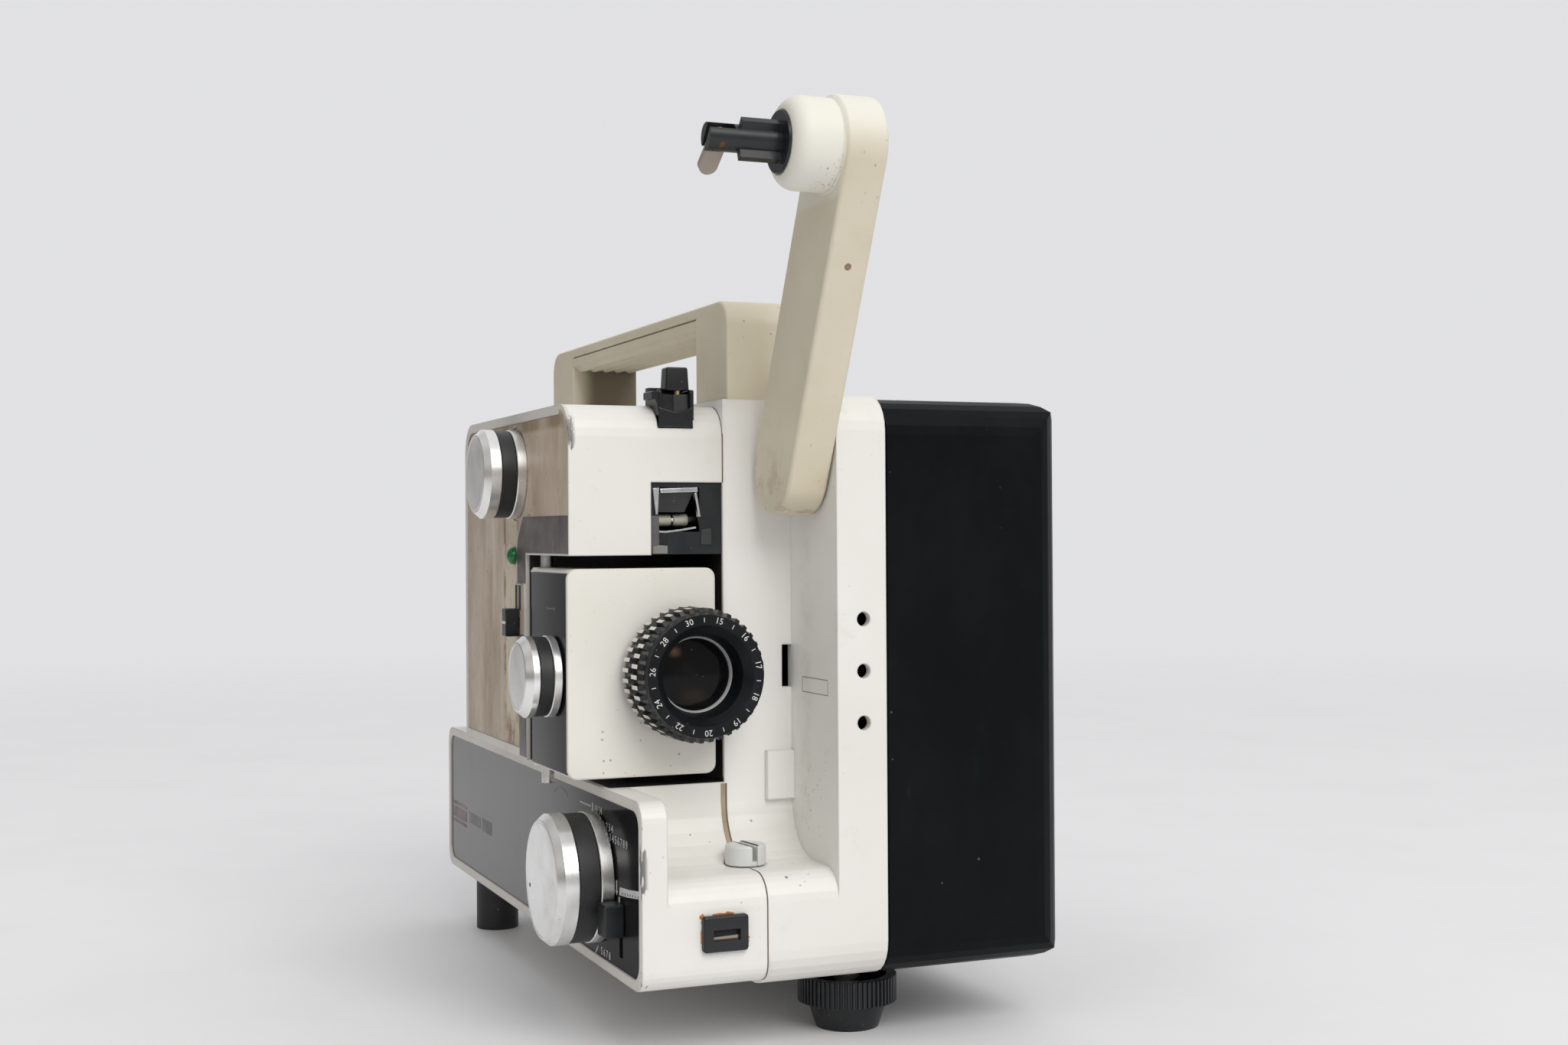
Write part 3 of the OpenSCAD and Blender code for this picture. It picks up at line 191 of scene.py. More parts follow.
def colourOf(tree, shader, colour):
    tree.links.new(colour, shader.inputs["Base Color"])


def roughOf(tree, shader, value):
    tree.links.new(value, shader.inputs["Roughness"])


# Each finish has its colours and places in a dictionary: a place is two corners and the softness of its edge

# White-ivory paint on the casting and boxes, with dust, smudges and chips down to grey primer
ivoryLook = {"base": (0.80, 0.785, 0.74), "light": (0.815, 0.805, 0.77), "dark": (0.775, 0.76, 0.715),
             "smudge": (0.58, 0.54, 0.47), "dust": (0.20, 0.155, 0.10), "fleck": (0.10, 0.09, 0.085),
             "dirt": (0.42, 0.33, 0.23), "primer": (0.20, 0.195, 0.19), "housingRim": (0.52, 0.485, 0.43),
             "boxRim": (0.50, 0.45, 0.38), "white": (0.94, 0.935, 0.91), "bay": (0.006, 0.005, 0.005),
             "lug": (0.30, 0.26, 0.22)}
ivoryPlaces = {"scoop": ((6, -2, 44), (62, 38, 84), 8),
               "corner": ((57.6, 20, 64), (61.2, 36, 150), 1.6),
               "boxEdge": ((-1, -1, 48), (1.4, 2.2, 70), 0.8),
               "boxFoot": ((-1, -1, 20), (2.2, 2.4, 33), 1),
               "housingEdge": ((-12, 34, 170), (-8.9, 37, 192), 0.8),
               "housingRim": ((-12, 36, 76), (-9.6, 172, 195), 0.4),
               "boxRim": ((-1, 3, 20), (0.5, 250, 78), 0.4),
               # recess: painted light, whiter paint on the back wall that the arm shades
               "recess": ((38.5, 28, 66), (62, 46, 192), (1.5, 6, 6)),
               "bay": ((-9.6, 36.2, 77), (38.3, 90, 146), 0.3),
               "ledgeShade": ((1.6, 35.6, 75), (38.3, 90, 77.5), 0.3),
               "lug": ((-14, 70, 72), (-0.6, 84, 80), 0.3)}


def makeIvoryPaint():
    k = ivoryLook
    mat, tree, shader, place = startFinish("ivoryPaint", k["base"], 0.42)
    spot = {name: patch(tree, place, *where) for name, where in ivoryPlaces.items()}
    tone = cloud(tree, place, 18, 3)
    base = tint(tree, between(tree, tone, 0.3, 0.75), k["light"], k["dark"])
    smudge = cloud(tree, place, 75, 6, 0.65, shift=(3, 1, 7))
    base = tint(tree, between(tree, smudge, 0.58, 0.84, 0, 0.4), base, k["smudge"])
    # Dust lies everywhere, and thickest in the scoop
    drifts = between(tree, cloud(tree, place, 40, 3), 0.5, 0.62)
    dust = times(tree, specks(tree, place, 520, 0.20, 0.35), drifts)
    share = sums(tree, "ADD", times(tree, spot["scoop"], 0.75), 0.15)
    base = tint(tree, times(tree, dust, share), base, k["dust"])
    flecks = specks(tree, place, 95, 0.075, 0.12, (0.4, 0.2, 0.1))
    base = tint(tree, times(tree, flecks, 0.85), base, k["fleck"])
    # Brown dirt in the corner of the recess
    dirt = times(tree, spot["corner"], between(tree, cloud(tree, place, 160, 5, 0.7), 0.42, 0.68))
    base = tint(tree, times(tree, dirt, 0.2), base, k["dirt"])
    # Chips on the control box's front left edge and on the film housing's top corner
    chipNoise = between(tree, cloud(tree, place, 210, 4, 0.6, stretch=(1, 1, 0.35)), 0.55, 0.59)
    chips = times(tree, most(tree, spot["boxEdge"], spot["boxFoot"], spot["housingEdge"]), chipNoise)
    base = tint(tree, chips, base, k["primer"])
    # The rims beside the side panels are greyer, and the recess behind the arm gets painted light: whiter
    # paint where the arm shades it
    for name, strength, colour in (("housingRim", 0.45, "housingRim"), ("boxRim", 0.4, "boxRim"),
                                   ("recess", 0.75, "white")):
        base = tint(tree, times(tree, spot[name], strength), base, k[colour])
    # Painted shade: the bay behind the lens carrier and the ledge under it are painted near black, where the
    # gap lies in shade
    base = tint(tree, times(tree, most(tree, spot["bay"], spot["ledgeShade"]), 0.985), base, k["bay"])
    base = tint(tree, times(tree, spot["lug"], 0.75), base, k["lug"])
    colourOf(tree, shader, base)
    roughOf(tree, shader, between(tree, smudge, 0.3, 0.8, 0.36, 0.56))
    peel = times(tree, cloud(tree, place, 900, 3), 0.5)
    relief(tree, shader, sums(tree, "SUBTRACT", peel, times(tree, chips, 3)), 0.15, 0.12, 0.8)
    shader.inputs["Coat Weight"].default_value = 0.1
    shader.inputs["Coat Roughness"].default_value = 0.3
    return mat


# The lens carrier's paint has yellowed more, with dust near its foot
lensBoxLook = {"base": (0.77, 0.75, 0.66), "light": (0.83, 0.815, 0.76), "dark": (0.79, 0.77, 0.705),
               "dust": (0.24, 0.18, 0.12), "fleck": (0.15, 0.13, 0.1),
               "foot": ((-20, 30, 74), (60, 60, 96), 8)}


def makeLensBoxPaint():
    k = lensBoxLook
    mat, tree, shader, place = startFinish("lensBoxPaint", k["base"], 0.45)
    tone = cloud(tree, place, 22, 4, shift=(5, 2, 1))
    base = tint(tree, between(tree, tone, 0.3, 0.75), k["light"], k["dark"])
    dust = specks(tree, place, 420, 0.2, 0.25)
    share = sums(tree, "ADD", times(tree, patch(tree, place, *k["foot"]), 0.6), 0.1)
    base = tint(tree, times(tree, dust, share), base, k["dust"])
    flecks = specks(tree, place, 110, 0.07, 0.12)
    base = tint(tree, times(tree, flecks, 0.6), base, k["fleck"])
    colourOf(tree, shader, base)
    roughOf(tree, shader, between(tree, tone, 0.3, 0.8, 0.38, 0.55))
    relief(tree, shader, cloud(tree, place, 850, 3), 0.12, 0.1, 1.0)
    return mat


# Cream moulding of the handle and the arms: grease, brown dust and dirt where the hubs stand on the arms
creamLook = {"base": (0.77, 0.73, 0.60), "light": (0.725, 0.67, 0.535), "dark": (0.665, 0.60, 0.455),
             "stain": (0.55, 0.46, 0.36), "dust": (0.30, 0.20, 0.13), "pale": (0.84, 0.835, 0.775),
             "dirt": (0.50, 0.37, 0.20), "spots": (0.26, 0.17, 0.10), "wear": (0.40, 0.27, 0.18),
             "grimeAndShade": (0.115, 0.085, 0.045), "capShare": 0.45, "capSoft": 8}


def makeCreamMoulding():
    k = creamLook
    mat, tree, shader, place = startFinish("creamMoulding", k["base"], 0.5)
    tone = cloud(tree, place, 26, 4)
    base = tint(tree, between(tree, tone, 0.3, 0.72), k["light"], k["dark"])
    stain = cloud(tree, place, 55, 6, 0.7, shift=(2, 4, 1))
    base = tint(tree, between(tree, stain, 0.56, 0.8, 0, 0.38), base, k["stain"])
    dust = specks(tree, place, 460, 0.21, 0.3)
    spread = between(tree, cloud(tree, place, 34, 3, shift=(1, 1, 6)), 0.46, 0.62)
    base = tint(tree, times(tree, times(tree, dust, spread), 0.55), base, k["dust"])
    # Painted light: the hubs and the arms' round ends are painted paler than the rest, though they are the
    # same cream plastic
    wide = armLook["wide"]
    cap = wide * k["capShare"]
    for node, atTop in (("takeup_arm", False), ("feed_arm", True)):
        low, high = span(node)
        joint = high.x - armLook["thick"]
        foot = high.z - wide if atTop else low.z
        hub = patch(tree, place, (low.x - 2, low.y - 2, foot - 1), (joint, high.y + 2, foot + wide + 1),
                    (0.3, 1, 1))
        capLow, capHigh = (high.z - cap, high.z + 9) if atTop else (low.z - 9, low.z + cap)
        end = patch(tree, place, (joint, low.y - 3, capLow), (high.x + 2, high.y + 3, capHigh),
                    (0.3, 1, k["capSoft"]))
        base = tint(tree, times(tree, most(tree, hub, end), 0.8), base, k["pale"])
    # On the feed arm: dirt in the hub's seam, spots under the hub and wear at the foot
    ring = patch(tree, place, (joint - 1.0, low.y - 2, high.z - wide - 2),
                 (joint - 0.2, low.y + wide, high.z + 2), (0.15, 1, 1))
    dirt = times(tree, ring, between(tree, cloud(tree, place, 70, 4, 0.6, shift=(4, 0, 2)), 0.35, 0.7))
    base = tint(tree, times(tree, dirt, 0.6), base, k["dirt"])
    under = patch(tree, place, (joint - 6, low.y - 1, high.z - wide),
                  (joint, low.y + 13, high.z - wide * 0.66), 2.5)
    clumps = between(tree, cloud(tree, place, 150, 4, 0.6), 0.4, 0.6)
    spots = times(tree, specks(tree, place, 900, 0.34, 0.5), clumps)
    base = tint(tree, times(tree, times(tree, under, spots), 0.8), base, k["spots"])
    foot = patch(tree, place, (low.x + 13, 6, 154), (low.x + 30, 34, 176), 4)
    wear = times(tree, foot, between(tree, cloud(tree, place, 140, 5, 0.7, shift=(1, 7, 2)), 0.5, 0.64))
    base = tint(tree, times(tree, wear, 0.5), base, k["wear"])
    # Painted shade on the inner face of the handle's rear leg, where the grip shades it
    low, high = span("carry_handle")
    inner = high.y - handleLook["leg"]
    corner = patch(tree, place, (low.x + 5.5, inner - 2, low.z - 1), (high.x + 6, inner + 2, high.z),
                   (4, 0.6, 6))
    base = tint(tree, times(tree, corner, 0.88), base, k["grimeAndShade"])
    colourOf(tree, shader, base)
    roughOf(tree, shader, between(tree, stain, 0.3, 0.8, 0.42, 0.6))
    relief(tree, shader, cloud(tree, place, 700, 3), 0.1, 0.1, 0.3)
    return mat


# Satin black cover: smears, thin scratches, pale dust and a dusty front edge
coverLook = {"base": (0.003, 0.004, 0.005), "dark": (0.0024, 0.0034, 0.0045),
             "light": (0.0055, 0.0072, 0.0085), "green": (0.008, 0.026, 0.021), "dust": (0.22, 0.20, 0.17),
             "scratch": (0.06, 0.06, 0.065),
             "edge": ((75, -2, 15), (79.4, 4, 200), 1)}


def makeCoverPaint():
    k = coverLook
    mat, tree, shader, place = startFinish("coverPaint", k["base"], 0.3)
    smear = cloud(tree, place, 22, 6, 0.65, stretch=(1, 1, 0.6))
    base = tint(tree, between(tree, smear, 0.4, 0.8), k["dark"], k["light"])
    green = cloud(tree, place, 30, 5, 0.6, stretch=(1, 1, 0.4), shift=(7, 3, 2))
    base = tint(tree, between(tree, green, 0.62, 0.8, 0, 0.6), base, k["green"])
    dust = specks(tree, place, 240, 0.11, 0.05)
    edge = specks(tree, place, 420, 0.2, 0.2, (0.3, 0.1, 0.2))
    edge = times(tree, edge, patch(tree, place, *k["edge"]))
    base = tint(tree, times(tree, most(tree, dust, edge), 0.5), base, k["dust"])
    scratch = cloud(tree, place, 60, 3, 0.5, stretch=(6, 6, 0.5), turn=(0.35, 0.2, 0.5))
    lines = between(tree, scratch, 0.735, 0.76)
    base = tint(tree, times(tree, lines, 0.2), base, k["scratch"])
    colourOf(tree, shader, base)
    rough = sums(tree, "ADD", between(tree, smear, 0.3, 0.8, 0.28, 0.42), times(tree, lines, 0.2))
    roughOf(tree, shader, rough)
    shader.inputs["Specular IOR Level"].default_value = 0.1
    relief(tree, shader, cloud(tree, place, 520, 3), 0.06, 0.1, 0.8)
    return mat


# Control panel and lens side panel: dark lacquer with rubbed haze
# The polish has dulled at the front, where hands reach for the controls
panelLook = {"base": (0.014, 0.014, 0.016), "dark": (0.010, 0.010, 0.012), "light": (0.020, 0.0195, 0.021),
             "dust": (0.3, 0.29, 0.27), "dullTo": -0.075, "shinyFrom": 0.03, "dullIor": 1.1, "shinyIor": 1.53}


def makePanelLacquer():
    k = panelLook
    mat, tree, shader, place = startFinish("panelLacquer", k["base"], 0.24)
    haze = cloud(tree, place, 16, 5, 0.6, stretch=(1, 0.7, 1))
    base = tint(tree, between(tree, haze, 0.35, 0.75), k["dark"], k["light"])
    dust = specks(tree, place, 360, 0.1, 0.06)
    base = tint(tree, times(tree, dust, 0.3), base, k["dust"])
    colourOf(tree, shader, base)
    rub = cloud(tree, place, 90, 4, 0.6, stretch=(1, 1, 0.35))
    rough = sums(tree, "ADD", between(tree, haze, 0.3, 0.8, 0.13, 0.2), between(tree, rub, 0.5, 0.9, 0, 0.06))
    roughOf(tree, shader, rough)
    parts = tree.nodes.new("ShaderNodeSeparateXYZ")
    tree.links.new(place, parts.inputs[0])
    polish = between(tree, parts.outputs["Y"], k["dullTo"], k["shinyFrom"], k["dullIor"], k["shinyIor"])
    tree.links.new(polish, shader.inputs["IOR"])
    relief(tree, shader, haze, 0.05, 0.4, 0.2)
    return mat


# Bare side panel: taupe metal with rust runs, old glue and scraped streaks
strippedColours = {"base": (0.36, 0.325, 0.28), "light": (0.585, 0.485, 0.38), "dark": (0.385, 0.30, 0.225),
                   "pale": (0.76, 0.66, 0.55), "ochre": (0.36, 0.25, 0.13), "glue": (0.66, 0.60, 0.44),
                   "rust": (0.22, 0.10, 0.045), "red": (0.40, 0.09, 0.04), "rim": (0.22, 0.14, 0.06),
                   "grimeAndShade": (0.16, 0.12, 0.09)}


def makeStrippedPanel():
    k, s = strippedColours, strippedLook
    mat, tree, shader, place = startFinish("strippedPanel", k["base"], 0.5)
    near, far = s["skinNear"], s["skinFar"]
    foot, top = s["glueFoot"], s["glueTop"]
    tone = cloud(tree, place, 35, 6, 0.65, stretch=(1, 1, 0.45))
    base = tint(tree, between(tree, tone, 0.3, 0.72), k["light"], k["dark"])
    pale = cloud(tree, place, 48, 5, 0.6, stretch=(1, 1, 0.22), shift=(2, 6, 3))
    base = tint(tree, between(tree, pale, 0.5, 0.72, 0, 0.6), base, k["pale"])
    ochre = cloud(tree, place, 42, 5, 0.65, stretch=(1, 1, 0.25), shift=(6, 1, 2))
    base = tint(tree, between(tree, ochre, 0.52, 0.68, 0, 0.7), base, k["ochre"])
    # A strip of old glue, with rust at its edges and under its foot
    glue = patch(tree, place, (near, s["glueFront"], foot), (far, s["glueRear"], top), 1.2)
    glueNoise = cloud(tree, place, 110, 5, 0.65, stretch=(1, 1, 0.5))
    base = tint(tree, times(tree, glue, between(tree, glueNoise, 0.3, 0.62, 0.2, 0.85)), base, k["glue"])
    rust = most(tree, patch(tree, place, (near, s["glueRear"] - 1, foot), (far, s["glueRear"] + 2, top), 0.7),
                patch(tree, place, (near, s["glueFront"] - 1.5, foot), (far, s["glueFront"] + 0.7, top), 0.7),
                patch(tree, place, (near, 86, 82), (far, 114, 92), 2.5))
    rustNoise = between(tree, cloud(tree, place, 150, 5, 0.7, stretch=(1, 1, 0.6)), 0.44, 0.6)
    base = tint(tree, times(tree, times(tree, rust, rustNoise), 0.85), base, k["rust"])
    redMark = patch(tree, place, (near, 66, 157.8), (far, 84, 161), 0.8)
    redNoise = between(tree, cloud(tree, place, 190, 4, 0.6, stretch=(1, 0.5, 1)), 0.54, 0.6)
    base = tint(tree, times(tree, redMark, redNoise), base, k["red"])
    rim = patch(tree, place, (near, 40, 184.4), (far, 165, 188.2), 1)
    base = tint(tree, times(tree, rim, between(tree, ochre, 0.3, 0.6, 0.2, 0.8)), base, k["rim"])
    grimeAndShade = specks(tree, place, 300, 0.22, 0.25)
    base = tint(tree, times(tree, grimeAndShade, 0.35), base, k["grimeAndShade"])
    colourOf(tree, shader, base)
    roughOf(tree, shader, between(tree, tone, 0.3, 0.75, 0.38, 0.62))
    bumps = sums(tree, "ADD", times(tree, glue, glueNoise), times(tree, tone, 0.5))
    relief(tree, shader, bumps, 0.35, 0.35, 0.15)
    return mat


# Turned aluminium of the knobs: fine lathe rings, faint stains and dust
def makeTurnedAlloy():
    mat, tree, shader, place = startFinish("turnedAlloy", (0.86, 0.86, 0.85), 0.3, 1.0)
    lathe = cloud(tree, place, 260, 3, 0.6, stretch=(9, 0.15, 0.15))
    stain = cloud(tree, place, 60, 5, 0.6)
    base = tint(tree, between(tree, stain, 0.45, 0.8), (0.90, 0.90, 0.89), (0.74, 0.73, 0.70))
    pits = specks(tree, place, 330, 0.12, 0.1)
    base = tint(tree, times(tree, pits, 0.5), base, (0.3, 0.29, 0.27))
    colourOf(tree, shader, base)
    roughOf(tree, shader, between(tree, stain, 0.3, 0.8, 0.26, 0.42))
    relief(tree, shader, lathe, 0.06, 0.1, 0.15)
    shader.inputs["Anisotropic"].default_value = 0.4
    return mat


def makeSteel(name, colour, rough, stretch):
    mat, tree, shader, place = startFinish(name, colour, rough, 1.0)
    brush = cloud(tree, place, 240, 4, 0.6, stretch=stretch)
    worn = tuple(c * 0.62 for c in colour)
    base = tint(tree, between(tree, cloud(tree, place, 80, 5, 0.6), 0.45, 0.8), colour, worn)
    colourOf(tree, shader, base)
    roughOf(tree, shader, between(tree, brush, 0.3, 0.75, rough - 0.07, rough + 0.1))
    relief(tree, shader, brush, 0.08, 0.08, 0.15)
    return mat


# Brown trim, rubbed pale in upright streaks
def makeBrownTrim():
    mat, tree, shader, place = startFinish("brownTrim", (0.055, 0.042, 0.04), 0.36)
    tone = cloud(tree, place, 70, 5, 0.6)
    base = tint(tree, between(tree, tone, 0.35, 0.75), (0.060, 0.046, 0.042), (0.036, 0.027, 0.025))
    rub = cloud(tree, place, 150, 4, 0.6, stretch=(1, 1, 0.3), shift=(3, 5, 1))
    base = tint(tree, between(tree, rub, 0.58, 0.72, 0, 0.4), base, (0.30, 0.285, 0.29))
    dust = specks(tree, place, 420, 0.18, 0.4)
    colourOf(tree, shader, tint(tree, times(tree, dust, 0.3), base, (0.2, 0.16, 0.12)))
    roughOf(tree, shader, between(tree, tone, 0.3, 0.8, 0.28, 0.46))
    relief(tree, shader, rub, 0.1, 0.1, 0.2)
    return mat


# Coated glass, almost black, with two painted warm glows deep inside, placed from the lens's axis
glassLook = {"base": (0.01, 0.01, 0.011), "dark": (0.004, 0.004, 0.005), "haze": (0.016, 0.015, 0.014),
             "upper": ((-7.6, 6.4), (-5.6, 7.6), 1.8), "upperGlow": (0.42, 0.26, 0.12),
             "lower": ((-4.0, -7.4), (2.5, -5.6), 3.0), "lowerGlow": (0.07, 0.045, 0.022),
             "dust": (0.2, 0.2, 0.2)}


def makeGlass():
    k = glassLook
    mat, tree, shader, place = startFinish("coatedGlass", k["base"], 0.05)
    haze = cloud(tree, place, 140, 5, 0.65)
    base = tint(tree, between(tree, haze, 0.5, 0.8, 0, 0.6), k["dark"], k["haze"])
    x, z = middle("front_glass").x, middle("front_glass").z
    for name, strength in (("upper", 0.8), ("lower", 0.5)):
        (x0, z0), (x1, z1), soft = k[name]
        glow = patch(tree, place, (x + x0, 0, z + z0), (x + x1, 60, z + z1), soft)
        base = tint(tree, times(tree, glow, strength), base, k[name + "Glow"])
    dust = specks(tree, place, 300, 0.1, 0.1)
    base = tint(tree, times(tree, dust, 0.3), base, k["dust"])
    colourOf(tree, shader, base)
    roughOf(tree, shader, between(tree, haze, 0.4, 0.8, 0.04, 0.18))
    shader.inputs["Specular IOR Level"].default_value = 0.15
    return mat


# Plain plastics, rubber and black metal: two tones in soft clouds, dust in small dots and a fine grain
plainLook = {"tone": (70, 5, 0.6), "dots": (420, 0.18), "dust": (0.2, 0.16, 0.12), "dustMix": 0.4,
             "grain": (800, 2), "bump": (0.1, 0.08), "shine": 0.5}


def makeMoulding(name, light, dark, rough, dustShare=0.1, edge=0.2, **other):
    k = {**plainLook, "base": light, "dull": (rough - 0.08, rough + 0.1), **other}
    mat, tree, shader, place = startFinish(name, k["base"], rough)
    tone = cloud(tree, place, *k["tone"])
    base = tint(tree, between(tree, tone, 0.35, 0.75), light, dark)
    dust = specks(tree, place, *k["dots"], dustShare)
    colourOf(tree, shader, tint(tree, times(tree, dust, k["dustMix"]), base, k["dust"]))
    roughOf(tree, shader, between(tree, tone, 0.3, 0.8, *k["dull"]))
    shader.inputs["Specular IOR Level"].default_value = k["shine"]
    relief(tree, shader, cloud(tree, place, *k["grain"]), *k["bump"], edge)
    return mat


# Sizes that a finish shares with the piece that it covers
handleLook = {"rim": 0.9, "leg": 28, "corner": 8, "roof": 3.4, "grip": 9, "gap": 0.35, "ribs": 5,
              "ribSteps": 8, "ribDepth": 1.5, "ribMargin": 1, "skirt": 0.4, "wall": 1.4, "wallDrop": 0.5,
              "inlay": 0.4, "lap": 0.3}
armLook = {"wide": 28.6, "thick": 12.8, "rim": 1.3, "hubRadius": 13.1, "hubRound": 5.0, "mouth": 9.0,
           "mouthDeep": 1.2, "seat": 0.5, "flange": 0.5, "plugDown": 30.3, "plugRadius": 1.05,
           "plugRise": 0.12, "plugSink": 0.3}
strippedLook = {"skinNear": -14, "skinFar": -8, "glueFront": 95.4, "glueRear": 111.5, "glueFoot": 84,
                "glueTop": 158, "stripFront": 35.7, "stripFoot": 146.0, "stripTop": 157.4, "stripRear": 87.6,
                "cornerRear": 94.0, "cornerLow": 150.5, "legFront": 84.6, "legRear": 95.0, "legFoot": 80.6,
                "legTop": 119.5, "legGap": 0.6, "sliderGap": 2, "film": 0.27, "sink": 0.05, "edge": 0.5,
                "rimInset": 3.4, "corner": 10, "marginLift": 0.05, "marginSink": 0.3}

finishes = {
    "ivory": makeIvoryPaint(),
    "lensBox": makeLensBoxPaint(),
    "cream": makeCreamMoulding(),
    "cover": makeCoverPaint(),
    "black": makeMoulding("blackMoulding", (0.006, 0.0075, 0.0095), (0.014, 0.0165, 0.019), 0.3, 0.12, 0.3,
                          base=(0.009, 0.0105, 0.0125), tone=(60, 5, 0.6), dots=(520, 0.17), dustMix=0.35,
                          dust=(0.20, 0.18, 0.15), dull=(0.24, 0.42), grain=(900, 2), bump=(0.06, 0.08)),
    # The lens's front ring has fine turning grooves across its axis
    "lensBlack": makeMoulding("lensBlack", (0.0045, 0.0055, 0.0065), (0.010, 0.0115, 0.013), 0.36, 0.08, 0.15,
                              base=(0.006, 0.007, 0.008), tone=(90, 4, 0.6), dots=(420, 0.12),
                              dust=(0.25, 0.23, 0.2), dull=(0.3, 0.45), grain=(300, 2, 0.5, (0.12, 9, 0.12)),
                              bump=(0.35, 0.15), shine=0.2),
    "panel": makePanelLacquer(),
    "stripped": makeStrippedPanel(),
    "alloy": makeTurnedAlloy(),
    "rubber": makeMoulding("blackRubber", (0.012, 0.012, 0.013), (0.028, 0.028, 0.029), 0.55, 0.12, 0.3,
                           base=(0.018, 0.018, 0.019), tone=(90, 4), dots=(330, 0.14), dustMix=0.5,
                           dust=(0.30, 0.29, 0.27), dull=(0.42, 0.62), grain=(700, 3), bump=(0.15, 0.12)),
    "steel": makeSteel("brightSteel", (0.68, 0.67, 0.65), 0.28, (0.2, 0.2, 4)),
    "chrome": makeSteel("dullChrome", (0.74, 0.75, 0.77), 0.18, (1, 1, 1)),
    "knurl": makeSteel("bareKnurl", (0.80, 0.78, 0.74), 0.34, (4, 0.2, 4)),
    "brass": makeSteel("dullBrass", (0.66, 0.50, 0.26), 0.3, (1, 1, 1)),
    "rust": makeSteel("rustyPin", (0.16, 0.085, 0.05), 0.5, (1, 1, 1)),
    "glass": makeGlass(),
    "jewel": makeMoulding("greenJewel", (0.012, 0.19, 0.065), (0.006, 0.10, 0.035), 0.14, 0.02),
    "white": makeMoulding("rollerWhite", (0.62, 0.61, 0.50), (0.48, 0.46, 0.37), 0.4),
    "grey": makeMoulding("paleGrey", (0.66, 0.67, 0.66), (0.6, 0.61, 0.60), 0.42, 0.05, 0.4),
    "latch": makeMoulding("latchGrey", (0.36, 0.305, 0.26), (0.30, 0.25, 0.21), 0.45, 0.1),
    "collar": makeMoulding("paleCollar", (0.50, 0.51, 0.51), (0.38, 0.39, 0.39), 0.38, 0.05),
    "plug": makeMoulding("brownPlug", (0.36, 0.25, 0.16), (0.22, 0.14, 0.08), 0.5, 0.4),
    "ceramic": makeMoulding("ceramicBody", (0.62, 0.58, 0.5), (0.5, 0.46, 0.39), 0.6),
    "core": makeMoulding("lacqueredCore", (0.16, 0.14, 0.12), (0.10, 0.09, 0.08), 0.5),
    "charcoal": makeMoulding("charcoalPlastic", (0.035, 0.035, 0.038), (0.024, 0.024, 0.026), 0.42, 0.15),
    "print": makeMoulding("panelPrint", (0.74, 0.74, 0.73), (0.58, 0.58, 0.58), 0.5, 0.2),
    "fadedPrint": makeMoulding("fadedPrint", (0.13, 0.125, 0.125), (0.08, 0.08, 0.08), 0.42, 0.1),
    "fadedRed": makeMoulding("fadedRed", (0.17, 0.10, 0.095), (0.11, 0.075, 0.07), 0.42, 0.1),
    "glue": makeMoulding("orangeGlue", (0.50, 0.19, 0.03), (0.30, 0.11, 0.02), 0.4, 0.3),
    "brownStrip": makeBrownTrim(),
    "grimeAndShade": makeMoulding("seamGrime", (0.42, 0.34, 0.24), (0.20, 0.14, 0.08), 0.75, 0.6),
    "seam": makeMoulding("seamShadow", (0.16, 0.12, 0.085), (0.09, 0.065, 0.045), 0.8, 0.3),
    "etch": makeMoulding("etchedLine", (0.25, 0.245, 0.23), (0.2, 0.195, 0.185), 0.6, 0.1),
    "dark": makeMoulding("deepShadow", (0.006, 0.006, 0.006), (0.01, 0.009, 0.008), 0.7, 0.05),
}
print("finishes made:", len(finishes))


# The finish of each CAD node that shows as it is
nodeLooks = {
    "ivory": ["main_casting", "film_housing", "control_box"],
    "lensBox": ["lens_carrier"],
    "cover": ["right_cover"],
    "black": ["loop_chamber", "mains_inlet", "feed_spindle", "takeup_spindle", "lens_barrel",
              "levelling_foot", "shutter", "fan"],
    "lensBlack": ["lens_front_ring"],
    "panel": ["control_panel", "lens_side_panel"],
    "stripped": ["film_side_panel"],
    "alloy": ["main_pulley", "motor_pulley"],
    "rubber": ["drive_belt", "rear_feet"],
    "steel": ["roller_shaft", "gate_plate", "claw_lever", "chassis_plate", "shaft_brackets", "cover_screws",
              "carrier_hinge_pin", "feed_pivot", "takeup_pivot", "pressure_plate", "foot_stem", "main_shaft",
              "motor_shaft"],
    "latch": ["feed_latch", "takeup_latch"],
    "glass": ["front_glass", "lamp"],
    "ceramic": ["lamp_socket"],
    "core": ["transformer", "motor"],
}
for look, group in nodeLooks.items():
    for name in group:
        nodes[name].data.materials.clear()
        nodes[name].data.materials.append(finishes[look])
print("nodes dressed:", sum(len(group) for group in nodeLooks.values()))


# Outlines and solids, in millimetres

def arc(x, y, r, start, end, n=8):
    turns = [math.radians(start + (end - start) * i / n) for i in range(n + 1)]
    return [(x + r * math.cos(a), y + r * math.sin(a)) for a in turns]


def roundBox(x0, y0, x1, y1, r, n=4):
    return (arc(x1 - r, y1 - r, r, 0, 90, n) + arc(x0 + r, y1 - r, r, 90, 180, n)
            + arc(x0 + r, y0 + r, r, 180, 270, n) + arc(x1 - r, y0 + r, r, 270, 360, n))


def oblong(x0, y0, x1, y1):
    return [(x0, y0), (x1, y0), (x1, y1), (x0, y1)]


def tidyLoop(loop):
    kept = []
    for point in loop:
        if not kept or math.dist(point, kept[-1]) > 0.001:
            kept.append(point)
    if math.dist(kept[0], kept[-1]) < 0.001:
        kept.pop()
    return kept


